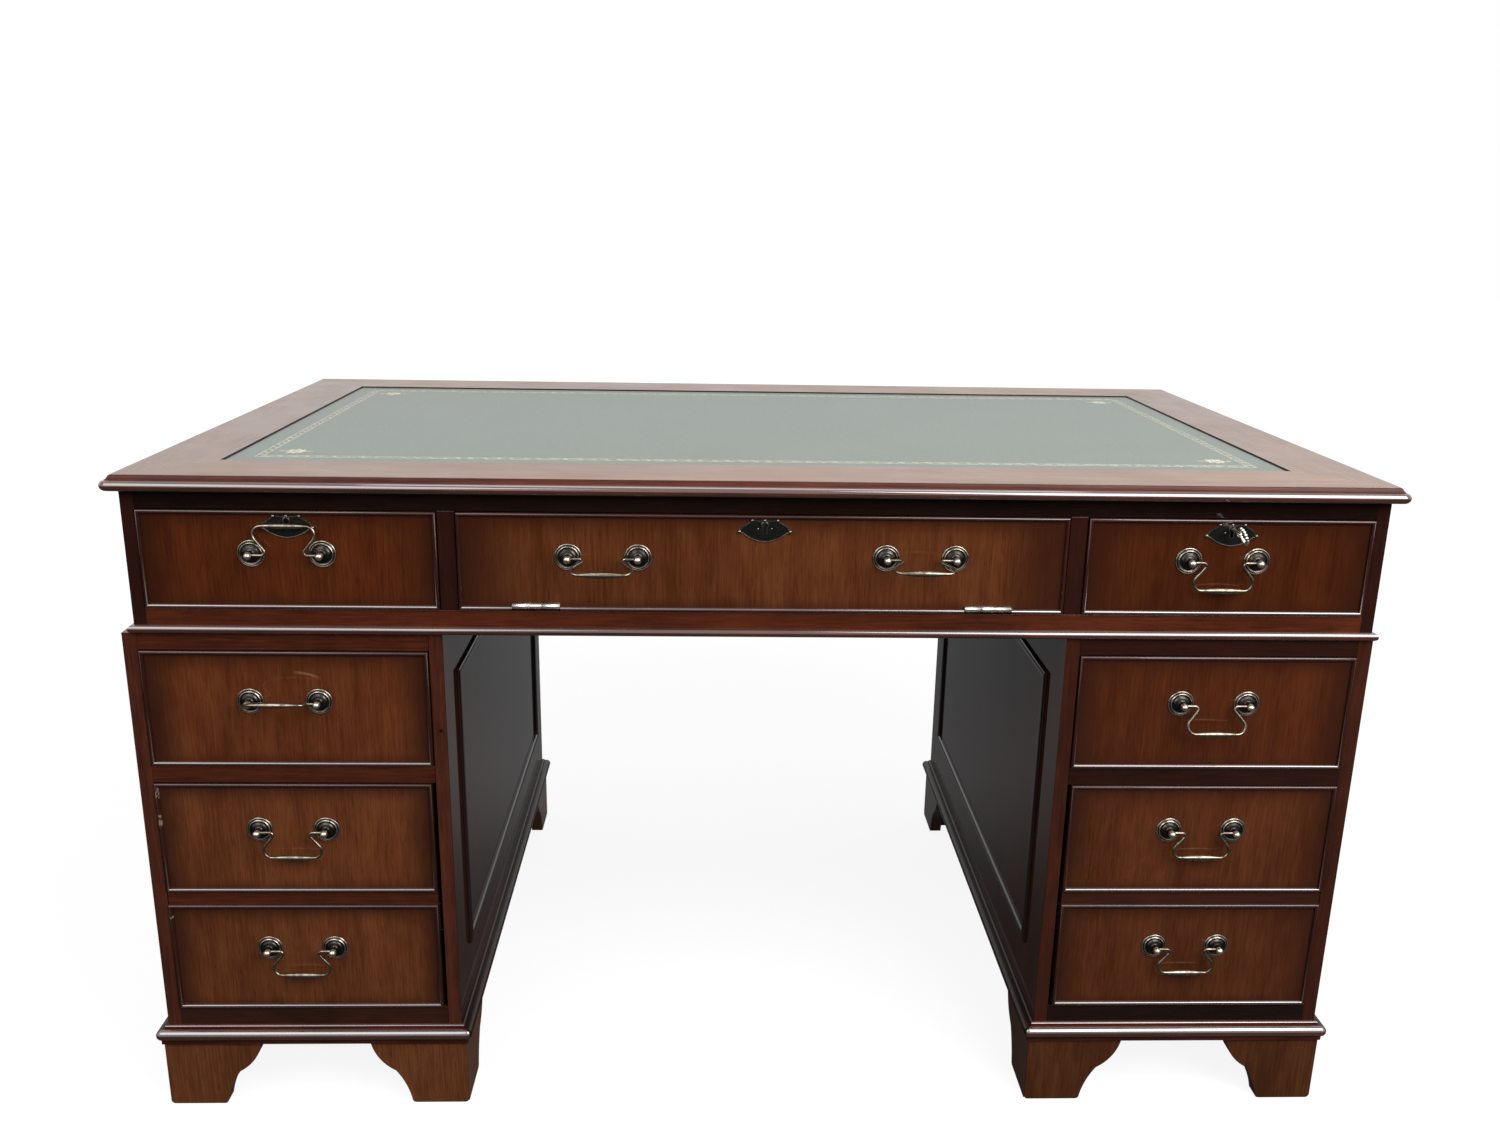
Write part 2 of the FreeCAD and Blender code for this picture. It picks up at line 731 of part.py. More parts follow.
def make_pedestal_drawers(side, centre, gap_sign):
    """The upper drawer and the deep filing drawer of one pedestal."""
    low_x = centre - pedestal_inside / 2
    high_x = centre + pedestal_inside / 2
    front = (low_x + front_gap, high_x - front_gap)
    low_z = middle_rail_top + front_gap
    high_z = pedestal_opening_top - front_gap
    board, beads = cock_beaded(*front, low_z, high_z, [(*front, low_z, high_z)])
    add(side + "_pedestal_drawer_front", [board] + beads)
    make_box(side + "_pedestal_drawer_box", low_x + side_clearance, high_x - side_clearance,
             middle_rail_top + runner_clearance, high_z - box_head_room)
    make_handle(side + "_pedestal", side + "_pedestal_drawer_brassware", centre, (low_z + high_z) / 2)

    filing_front = (front[0] + (filing_side_gap if gap_sign < 0 else 0),
                    front[1] - (filing_side_gap if gap_sign > 0 else 0))
    low_z = filing_bottom + front_gap
    high_z = filing_top - front_gap
    panel = (high_z - low_z - false_rail_height) / 2
    panels = [(*filing_front, low_z, low_z + panel), (*filing_front, high_z - panel, high_z)]
    board, beads = cock_beaded(*filing_front, low_z, high_z, panels)
    add(side + "_filing_front", [board] + beads)
    make_box(side + "_filing_box", low_x + slide_gap, high_x - slide_gap,
             filing_bottom + front_gap, high_z - filing_head_room)
    brass = side + "_filing_brassware"
    for name, middle in (("upper", high_z - panel / 2), ("lower", low_z + panel / 2)):
        make_handle(side + "_filing_" + name, brass, sum(filing_front) / 2, middle)
    for wall, inward in ((low_x, 1), (high_x, -1)):
        make_slide(side + "_filing_slides", wall, inward, front_thickness, slide_length,
                   filing_bottom + slide_height_above_floor)


def make_slide(moving_node, wall, inward, near, length, bottom):
    """A pair of roller slide members: a channel on the carcass and a rail on the drawer."""
    def span(low, high, y0, y1, z0, z1):
        edges = sorted((wall + inward * low, wall + inward * high))
        return box(*edges, y0, y1, z0, z1)

    start = near + tray_front_gap
    end = start + length
    top = bottom + slide_height
    channel = span(0, slide_wall, start, end, bottom, top)
    lip = slide_gap - slide_wall - slide_play
    for low, high in ((bottom, bottom + slide_wall), (top - slide_wall, top)):
        channel = channel.fuse(span(0, lip, start, end, low, high))
    add("fixed_slides", [channel.removeSplitter().Solids[0]])
    web = span(slide_gap - slide_wall, slide_gap, start, end, bottom, top)
    inner_bottom = bottom + slide_wall + slide_play
    inner_top = top - slide_wall - slide_play
    roller_radius = (inner_top - inner_bottom) / 2
    tongue = span(lip - tongue_reach, slide_gap, start, end,
                  top - slide_wall - slide_play - slide_wall, inner_top)
    rail = web.fuse(tongue).removeSplitter().Solids[0]
    roller_x = wall + inward * (slide_gap - slide_wall)
    roller = rod(V(roller_x, end - roller_radius, (inner_bottom + inner_top) / 2 - slide_wall),
                 X * -inward, roller_width, roller_radius - slide_wall)
    add(moving_node, [rail, roller])


def make_tray():
    """The keyboard tray behind the drop front, with its slides and the lower hinge leaves."""
    near = front_thickness + tray_front_gap
    far = near + tray_depth
    edge = centre_edge - slide_gap
    inner = edge - box_side_thickness
    floor = hinge_z() - leaf_play / 2
    board = floor + tray_board_thickness
    top = board + tray_rail_height
    add("keyboard_tray", [
        box(-edge, edge, near, far, floor, board),
        box(-edge, -inner, near, far, board, top),
        box(inner, edge, near, far, board, top),
        box(-inner, inner, far - box_side_thickness, far, board, top),
    ])
    for wall, inward in ((-centre_edge, 1), (centre_edge, -1)):
        make_slide("tray_metalwork", wall, inward, front_thickness, tray_slide_length - box_side_thickness,
                   board + slide_play)


def hinge_z():
    """The height of the drop front's hinge pins."""
    return frieze_opening_bottom + front_gap + hinge_rise


def make_drop_front():
    """The front of the keyboard tray, which drops on two butt hinges."""
    low_x = front_gap - centre_edge
    high_x = centre_edge - front_gap
    low_z = frieze_opening_bottom + front_gap
    high_z = frieze_opening_top - front_gap
    level = high_z - keyhole_below_top
    board, beads = cock_beaded(low_x, high_x, low_z, high_z, [(low_x, high_x, low_z, high_z)])
    board = board.cut(keyhole(0, level, -front_thickness - overrun,
                              front_thickness + 2 * overrun, keyhole_wood_play))
    board = board.cut(lock_seat(0, high_z - drop_front_bevel_height))
    bevel = [
        (front_thickness - drop_front_bevel_width, high_z),
        (front_thickness, high_z - drop_front_bevel_height),
        (front_thickness, high_z),
    ]
    board = board.cut(slab(bevel, lambda depth, height: V(low_x, depth, height), X * (high_x - low_x)))
    axis = hinge_z()
    for middle in (hinge_inset - centre_edge, centre_edge - hinge_inset):
        low = middle - hinge_length / 2 - leaf_play
        high = middle + hinge_length / 2 + leaf_play
        bed = box(low, high, -hinge_out, front_thickness + overrun, low_z - overrun,
                  axis + leaf_play / 2 + leaf_thickness)
        round_bed = box(low, high, -hinge_out - hinge_radius - overrun, hinge_radius - hinge_out + leaf_play,
                        low_z - overrun, axis + hinge_radius + leaf_play)
        for cutter in (bed, round_bed):
            board = board.cut(cutter)
            beads[0] = beads[0].cut(cutter)
        make_hinge(middle, axis)
    add("drop_front", [board] + beads[0].Solids + beads[1:])
    case, bolt = lock_parts(0, level, let_in_lock_near, high_z - drop_front_bevel_height)
    add("drop_front_brassware", [escutcheon(0, level), case, bolt])
    for name, sign in (("centre_left", -1), ("centre_right", 1)):
        make_handle(name, "drop_front_brassware", sign * centre_handle_x(), (low_z + high_z) / 2)


def centre_handle_x():
    """How far the drop front's handles lie from its middle."""
    return centre_edge * centre_handle_share


def make_hinge(middle, axis):
    """A butt hinge with three knuckles, closed: one leaf under the tray, one under the front."""
    half = hinge_length / 2
    inner = hinge_middle_knuckle / 2
    centre = V(0, -hinge_out, axis)
    beyond = hinge_radius - hinge_out + leaf_play
    play = leaf_play / 2

    def barrel(low, high, radius):
        return rod(centre + X * (middle + low), X, high - low, radius)

    upper = box(middle - half, middle + half, beyond, upper_leaf_width,
                axis + play, axis + play + leaf_thickness)
    arm = box(middle - inner + play, middle + inner - play, -hinge_out, upper_leaf_width,
              axis + play, axis + play + leaf_thickness)
    knuckle = barrel(play - inner, inner - play, hinge_radius)
    bore = barrel(-half, half, hinge_pin_radius + hinge_pin_play)
    upper = upper.fuse(arm).fuse(knuckle).cut(bore)
    add("drop_front_hinges", [upper.removeSplitter().Solids[0]])
    lower = box(middle - half, middle + half, beyond, lower_leaf_width,
                axis - play - leaf_thickness, axis - play)
    for low, high in ((-half, -inner), (inner, half)):
        arm = box(middle + low, middle + high, -hinge_out, lower_leaf_width,
                  axis - play - leaf_thickness, axis - play)
        lower = lower.fuse(arm).fuse(barrel(low, high, hinge_radius))
    lower = lower.fuse(barrel(-half, half, hinge_pin_radius))
    add("tray_metalwork", [lower.removeSplitter().Solids[0]])
    pivots["front_drop"] = (0, -hinge_out, axis)


make_top()
make_frieze()
make_pedestal("left", left_pedestal_centre)
make_pedestal("right", right_pedestal_centre)
make_frieze_drawer("left", -1)
make_frieze_drawer("right", 1)
make_tray()
make_drop_front()
make_pedestal_drawers("left", left_pedestal_centre, 1)
make_pedestal_drawers("right", right_pedestal_centre, -1)

# The origin goes under the middle of the outline
whole = Part.makeCompound([solid for solids in pieces.values() for solid in solids]).BoundBox
origin = V((whole.XMin + whole.XMax) / 2, (whole.YMin + whole.YMax) / 2, 0)

os.makedirs("parts", exist_ok=True)
for node, solids in pieces.items():
    shape = Part.makeCompound(solids)
    shape.translate(-origin)
    shape.exportStep("parts/" + node + ".step")
print("nodes", len(pieces), "solids", sum(len(solids) for solids in pieces.values()))
print("origin moved by", round(-origin.x, 4), round(-origin.y, 4))
for joint, place in pivots.items():
    print("pivot", joint, *(round(value, 4) for value in (V(*place) - origin)))
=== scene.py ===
import json
import logging
import math
from collections.abc import Iterable, Sequence
from dataclasses import dataclass, field, replace
from enum import Enum
from typing import Any, Union

import bpy
import numpy as np
from mathutils import Matrix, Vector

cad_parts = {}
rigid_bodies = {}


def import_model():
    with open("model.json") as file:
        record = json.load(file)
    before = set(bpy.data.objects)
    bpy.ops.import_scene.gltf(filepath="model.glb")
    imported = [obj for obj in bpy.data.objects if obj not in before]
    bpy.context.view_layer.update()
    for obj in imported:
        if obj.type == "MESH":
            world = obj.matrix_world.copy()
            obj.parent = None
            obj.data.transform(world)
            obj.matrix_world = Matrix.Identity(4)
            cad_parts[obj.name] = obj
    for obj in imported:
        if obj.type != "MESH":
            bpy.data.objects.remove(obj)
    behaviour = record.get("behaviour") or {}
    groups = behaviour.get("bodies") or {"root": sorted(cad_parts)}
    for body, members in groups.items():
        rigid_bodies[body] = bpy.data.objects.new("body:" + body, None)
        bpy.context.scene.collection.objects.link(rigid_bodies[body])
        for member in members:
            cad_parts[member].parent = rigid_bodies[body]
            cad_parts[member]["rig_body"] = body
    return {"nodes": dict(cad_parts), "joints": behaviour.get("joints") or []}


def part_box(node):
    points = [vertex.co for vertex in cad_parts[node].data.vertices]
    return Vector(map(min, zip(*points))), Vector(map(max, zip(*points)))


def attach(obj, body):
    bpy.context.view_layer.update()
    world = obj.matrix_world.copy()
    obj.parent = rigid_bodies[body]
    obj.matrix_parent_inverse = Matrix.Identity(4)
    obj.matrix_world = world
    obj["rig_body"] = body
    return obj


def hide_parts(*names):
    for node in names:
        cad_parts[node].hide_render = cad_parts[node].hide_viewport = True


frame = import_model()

Colour = tuple[float, float, float]
Pair = tuple[float, float]

log = logging.getLogger("desk")
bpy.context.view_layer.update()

X = np.array([1.0, 0.0, 0.0])
Y = np.array([0.0, 1.0, 0.0])
Z = np.array([0.0, 0.0, 1.0])


class Wire:
    """A value inside a material, so that shader maths is written as a Python expression."""

    def __init__(self, graph: "Graph", socket: bpy.types.NodeSocket) -> None:
        """Keeps the output socket that gives the value."""
        self.graph = graph
        self.socket = socket

    def _sum(self, operation: str, *terms: "Number") -> "Wire":
        """One Math node on the given terms."""
        return self.graph.wire("ShaderNodeMath", {"operation": operation}, dict(enumerate(terms)))

    def __add__(self, other: "Number") -> "Wire":
        """This plus the other."""
        return self._sum("ADD", self, other)

    __radd__ = __add__

    def __sub__(self, other: "Number") -> "Wire":
        """This less the other."""
        return self._sum("SUBTRACT", self, other)

    def __rsub__(self, other: "Number") -> "Wire":
        """The other less this."""
        return self._sum("SUBTRACT", other, self)

    def __mul__(self, other: "Number") -> "Wire":
        """This times the other."""
        return self._sum("MULTIPLY", self, other)

    __rmul__ = __mul__

    def __truediv__(self, other: "Number") -> "Wire":
        """This over the other."""
        return self._sum("DIVIDE", self, other)

    def __abs__(self) -> "Wire":
        """This without its sign."""
        return self._sum("ABSOLUTE", self)

    def most(self, other: "Number") -> "Wire":
        """The larger of the two."""
        return self._sum("MAXIMUM", self, other)

    def smooth(self, low: float, high: float) -> "Wire":
        """0 at low and 1 at high, with a smooth step between."""
        return self.graph.wire("ShaderNodeMapRange", {"interpolation_type": "SMOOTHSTEP"},
                               {"Value": self, "From Min": low, "From Max": high})


Number = Union[float, Wire]


class Graph:
    """The nodes of one material or of the world."""

    def __init__(self, tree: bpy.types.NodeTree) -> None:
        """Starts from an empty tree."""
        self.tree = tree
        tree.nodes.clear()

    def node(self, kind: str, settings: dict[str, Any] | None = None,
             inputs: dict[Any, Any] | None = None) -> bpy.types.Node:
        """Makes one node.

        Args:
            kind: the node's type.
            settings: the node's own settings, which are set first.
            inputs: a value or a Wire for each socket, by name or by number.

        Returns:
            The node.
        """
        node = self.tree.nodes.new(kind)
        for key, value in (settings or {}).items():
            setattr(node, key, value)
        for key, value in (inputs or {}).items():
            socket = node.inputs[key]
            if isinstance(value, Wire):
                self.tree.links.new(value.socket, socket)
            elif isinstance(value, tuple) and len(value) == 3 and socket.type == "RGBA":
                socket.default_value = (*value, 1.0)
            else:
                socket.default_value = value
        return node

    def wire(self, kind: str, settings: dict[str, Any] | None = None,
             inputs: dict[Any, Any] | None = None, output: Any = 0) -> Wire:
        """The same as node, but returns one of its outputs."""
        return Wire(self, self.node(kind, settings, inputs).outputs[output])

    def place(self) -> Wire:
        """The point in the object's own coordinates, in metres."""
        return self.wire("ShaderNodeTexCoord", output="Object")

    def stretch(self, vector: Wire, by: Sequence[float]) -> Wire:
        """The vector with each part times a number."""
        return self.wire("ShaderNodeVectorMath", {"operation": "MULTIPLY"}, {0: vector, 1: tuple(by)})

    def parts(self, vector: Wire) -> tuple[Wire, Wire, Wire]:
        """The three parts of a vector."""
        node = self.node("ShaderNodeSeparateXYZ", inputs={0: vector})
        return Wire(self, node.outputs[0]), Wire(self, node.outputs[1]), Wire(self, node.outputs[2])

    def noise(self, vector: Wire, scale: float, detail: float = 2.0, distortion: float = 0.0) -> Wire:
        """Smooth noise from 0 to 1, whose lumps are one over scale across."""
        return self.wire("ShaderNodeTexNoise", inputs={
            "Vector": vector, "Scale": scale, "Detail": detail, "Distortion": distortion})

    def mix(self, share: Number, low: Any, high: Any) -> Wire:
        """The colour low, turning to the colour high as the share goes from 0 to 1."""
        return self.wire("ShaderNodeMix", {"data_type": "RGBA", "clamp_factor": True},
                         {0: share, 6: low, 7: high}, output=2)

    def bump(self, height: Wire, depth: float, strength: float = 1.0) -> Wire:
        """The normal of a surface raised by a height from 0 to 1 times a depth."""
        return self.wire("ShaderNodeBump", inputs={"Height": height, "Distance": depth,
                                                   "Strength": strength})

    def principled(self, **inputs: Any) -> Wire:
        """The main shader: an argument's underscores stand for the spaces of a socket's name."""
        named = {key.replace("_", " "): value for key, value in inputs.items()}
        return self.wire("ShaderNodeBsdfPrincipled", inputs=named)


class Grain(Enum):
    """Which way the fibres of the wood run: the number of the axis."""

    ACROSS = 0
    DEEP = 1
    UPRIGHT = 2


@dataclass(frozen=True)
class Finish:
    """A finish that a material is made from."""

    name: str

    def surface(self, graph: Graph) -> Wire:
        """The shader of this finish."""
        raise NotImplementedError

    def material(self) -> bpy.types.Material:
        """The material, made once for each finish and kept by its name."""
        made = bpy.data.materials.get(self.name)
        if made is None:
            made = bpy.data.materials.new(self.name)
            made.use_nodes = True
            graph = Graph(made.node_tree)
            graph.node("ShaderNodeOutputMaterial", inputs={"Surface": self.surface(graph)})
        return made


@dataclass(frozen=True)
class Burst:
    """The darker stain that is sprayed round the edge of a drawer front."""

    centre: Pair
    half: Pair
    side_width: float = 0.058
    top_start: float = -0.004
    top_width: float = 0.030
    bottom_start: float = -0.006
    bottom_width: float = 0.018
    unevenness: float = 0.012
    uneven_scale: float = 22.0
    strength: float = 0.88


@dataclass(frozen=True)
class Mark:
    """A mark of wear at a point in x and z: its half sizes, its fall per length, and how strong it is."""

    x: float
    z: float
    half_x: float
    half_z: float
    fall: float = 0.0
    bend: float = 0.0
    strength: float = 1.0
    ragged: float = 1.0
    ragged_scale: float = 420.0
    border: float = 0.6


@dataclass(frozen=True)
class Mahogany(Finish):
    """High-gloss lacquered mahogany: fine streaks along the grain, pores, and broad soft bands."""

    grain: Grain = Grain.UPRIGHT
    light: Colour = (0.118, 0.034, 0.0085)
    dark: Colour = (0.070, 0.0165, 0.0040)
    edge: Colour = (0.026, 0.0065, 0.0030)
    burst: Burst | None = None
    marks: tuple[Mark, ...] = ()
    chip: Colour = (0.42, 0.30, 0.20)
    gloss: float = 0.10
    ior: float = 1.40
    coat: float = 0.0
    coat_gloss: float = 0.05
    coat_ior: float = 1.6
    streak_scale: float = 400.0
    blotch_scale: float = 70.0
    fine_scale: float = 900.0
    band_scale: float = 26.0
    pore_scale: float = 1500.0
    along: float = 0.045
    contrast: float = 1.1
    pore_strength: float = 0.45
    cloud_scale: float = 14.0
    ripple_depth: float = 0.00022

    def figure(self, graph: Graph, place: Wire) -> tuple[Wire, Wire]:
        """The lightness of the wood from 0 to 1, and the mask of its pores.

        Each noise is drawn out along the grain: streaks most, bands a quarter and blotches a tenth as much.
        """
        squeeze = [1.0, 1.0, 1.0]
        squeeze[self.grain.value] = self.along
        fibre = graph.stretch(place, squeeze)
        squeeze[self.grain.value] = 4 * self.along
        broad = graph.stretch(place, squeeze)
        squeeze[self.grain.value] = 10 * self.along
        blotch = graph.noise(graph.stretch(place, squeeze), self.blotch_scale, 2.0)
        streak = graph.noise(fibre, self.streak_scale, 3.0)
        fine = graph.noise(fibre, self.fine_scale, 1.0)
        band = graph.noise(broad, self.band_scale, 2.0, 0.6)
        pore = graph.noise(fibre, self.pore_scale, 0.0).smooth(0.66, 0.80)
        tone = (0.5 + self.contrast * (1.5 * (streak - 0.5) + 0.7 * (fine - 0.5))
                + 1.7 * (band - 0.5) + 0.9 * (blotch - 0.5))
        return tone, pore

    def surface(self, graph: Graph) -> Wire:
        """The wood under its lacquer."""
        place = graph.place()
        tone, pore = self.figure(graph, place)
        colour = graph.mix(tone, self.dark, self.light)
        colour = graph.mix(self.pore_strength * pore, colour, self.edge)
        x, _, z = graph.parts(place)
        if self.burst:
            colour = graph.mix(self.burst_mask(graph, place, x, z), colour, self.edge)
        for mark in self.marks:
            colour = graph.mix(mark.strength * self.mark_mask(graph, place, x, z, mark), colour, self.chip)
        cloud = graph.noise(place, self.cloud_scale, 1.0)
        ripple = graph.bump(cloud, self.ripple_depth)
        return graph.principled(Base_Color=colour, Roughness=self.gloss * (0.75 + 0.5 * cloud),
                                IOR=self.ior, Normal=ripple, Coat_Weight=self.coat,
                                Coat_Roughness=self.coat_gloss, Coat_IOR=self.coat_ior)

    def burst_mask(self, graph: Graph, place: Wire, x: Wire, z: Wire) -> Wire:
        """1 at the edge of the front and 0 in its middle, with a soft uneven border."""
        burst = self.burst
        uneven = burst.unevenness * (graph.noise(place, burst.uneven_scale, 2.0) - 0.5)
        from_side = burst.half[0] - abs(x - burst.centre[0]) + uneven
        from_top = burst.centre[1] + burst.half[1] - z + uneven
        from_bottom = z - (burst.centre[1] - burst.half[1]) + uneven
        inside = (from_side.smooth(0.0, burst.side_width)
                  * from_top.smooth(burst.top_start, burst.top_width)
                  * from_bottom.smooth(burst.bottom_start, burst.bottom_width))
        return burst.strength * (1.0 - inside)

    def mark_mask(self, graph: Graph, place: Wire, x: Wire, z: Wire, mark: Mark) -> Wire:
        """1 in a chipped or scratched place and 0 round it; it falls by fall x + bend x^2."""
        run = x - mark.x
        line = mark.z - mark.fall * run - mark.bend * (run * run)
        near = ((1.0 - abs(run) / mark.half_x).smooth(0.0, mark.border)
                * (1.0 - abs(z - line) / mark.half_z).smooth(0.0, mark.border))
        ragged = graph.noise(place, mark.ragged_scale, 2.0)
        return near * (1.0 - mark.ragged + mark.ragged * ragged.smooth(0.42, 0.56))


@dataclass(frozen=True)
class Leather(Finish):
    """Dark green hide with a fine pebbled grain and soft shading."""

    light: Colour = (0.118, 0.146, 0.118)
    dark: Colour = (0.082, 0.106, 0.086)
    gloss: float = 0.26
    ior: float = 1.62
    crease: float = 0.35
    cloud_scale: float = 9.0
    grain_scale: float = 620.0
    grain_depth: float = 0.00006

    def surface(self, graph: Graph) -> Wire:
        """Cells of grain with creases between, over slow clouds of colour."""
        place = graph.place()
        cell = graph.wire("ShaderNodeTexVoronoi", {"feature": "DISTANCE_TO_EDGE"},
                          {"Vector": place, "Scale": self.grain_scale})
        pebble = cell.smooth(0.0, self.crease)
        cloud = graph.noise(place, self.cloud_scale, 3.0)
        colour = graph.mix(0.6 * cloud + 0.4 * pebble, self.dark, self.light)
        return graph.principled(Base_Color=colour, Roughness=self.gloss + 0.12 * (1.0 - pebble),
                                IOR=self.ior, Normal=graph.bump(pebble, self.grain_depth, 0.5))


@dataclass(frozen=True)
class Gilt(Finish):
    """Gold leaf pressed into the leather, rubbed thin in places."""

    gold: Colour = (0.66, 0.60, 0.44)
    rubbed: Colour = (0.31, 0.32, 0.24)
    cover_scale: float = 260.0
    metallic: float = 0.35
    gloss: float = 0.42

    def surface(self, graph: Graph) -> Wire:
        """Leaf over leather, with a mottled cover."""
        place = graph.place()
        cover = graph.noise(place, self.cover_scale, 3.0).smooth(0.34, 0.60)
        return graph.principled(Base_Color=graph.mix(cover, self.rubbed, self.gold),
                                Metallic=self.metallic * cover, Roughness=self.gloss - 0.1 * cover)


@dataclass(frozen=True)
class Metal(Finish):
    """Cast or plated metal with a patina that lies in soft patches."""

    bright: Colour = (0.25, 0.21, 0.16)
    patina: Colour = (0.105, 0.086, 0.064)
    cover: float = 0.50
    gloss: float = 0.17
    patch_scale: float = 150.0
    pit_depth: float = 0.00001

    def surface(self, graph: Graph) -> Wire:
        """Bright metal where the patina is rubbed off."""
        place = graph.place()
        cloud = graph.noise(place, self.patch_scale, 2.0)
        bare = cloud.smooth(self.cover - 0.20, self.cover + 0.20)
        grit = graph.noise(place, 12 * self.patch_scale, 1.0)
        return graph.principled(
            Base_Color=graph.mix(bare, self.patina, self.bright), Metallic=0.90 + 0.10 * bare,
            Roughness=self.gloss + 0.10 * (1.0 - bare), Normal=graph.bump(grit, self.pit_depth, 0.4))


@dataclass(frozen=True)
class BareWood(Finish):
    """Unpolished drawer lining: pale straight-grained wood."""

    grain: Grain = Grain.DEEP
    light: Colour = (0.52, 0.36, 0.20)
    dark: Colour = (0.34, 0.21, 0.10)
    along: float = 0.05
    line_scale: float = 110.0
    fibre_scale: float = 1100.0
    fibre_depth: float = 0.00008
    gloss: float = 0.62

    def surface(self, graph: Graph) -> Wire:
        """Straight annual lines with fine fibres between."""
        place = graph.place()
        squeeze = [1.0, 1.0, 1.0]
        squeeze[self.grain.value] = self.along
        fibre = graph.stretch(place, squeeze)
        line = graph.noise(fibre, self.line_scale, 3.0, 0.4)
        fine = graph.noise(fibre, self.fibre_scale, 1.0)
        tone = 0.5 + 1.4 * (line - 0.5) + 0.7 * (fine - 0.5)
        return graph.principled(Base_Color=graph.mix(tone, self.dark, self.light),
                                Roughness=self.gloss + 0.1 * fine, IOR=1.4,
                                Normal=graph.bump(fine, self.fibre_depth, 0.5))


@dataclass(frozen=True)
class PaleFloor(Finish):
    """A plain pale floor: white to the camera, with the desk's shadow on it."""

    tone: float = 0.05
    shown_tone: float = 0.16
    glow_near: float = 0.89
    glow_far: float = 1.0
    mirrored_before: float = 0.02
    mirrored_behind: float = 0.15
    near: float = 0.9
    far: float = 3.2

    def surface(self, graph: Graph) -> Wire:
        """A lit floor, and for the camera a glow under it that grows away from the desk.

        Glass shows the same. A mirror shows a share of it: little of the floor before the desk, which
        lay in the dark of the room, and more of the floor behind.
        """
        x, y, _ = graph.parts(graph.place())
        away = graph.wire("ShaderNodeMath", {"operation": "SQRT"}, {0: x * x + y * y})
        share = away.smooth(self.near, self.far)
        glow = graph.wire("ShaderNodeEmission", inputs={
            "Color": (1.0, 1.0, 1.0),
            "Strength": self.glow_near + (self.glow_far - self.glow_near) * share})
        lit = graph.wire("ShaderNodeBsdfDiffuse", inputs={"Color": (self.shown_tone,) * 3})
        shown = graph.wire("ShaderNodeAddShader", inputs={0: glow, 1: lit})
        plain = graph.wire("ShaderNodeBsdfDiffuse", inputs={"Color": (self.tone,) * 3})
        path = graph.node("ShaderNodeLightPath")
        camera, mirror, glass = (Wire(graph, path.outputs[f"Is {ray} Ray"])
                                 for ray in ("Camera", "Glossy", "Transmission"))
        behind = y.smooth(-0.1, 0.6)
        mirrored = self.mirrored_before + (self.mirrored_behind - self.mirrored_before) * behind
        return graph.wire("ShaderNodeMixShader", inputs={
            0: camera.most(glass).most(mirrored * mirror), 1: plain, 2: shown})


class End(Enum):
    """How the first or the last row of a surface is closed."""

    OPEN = 0
    FLAT = 1
    POLE = 2


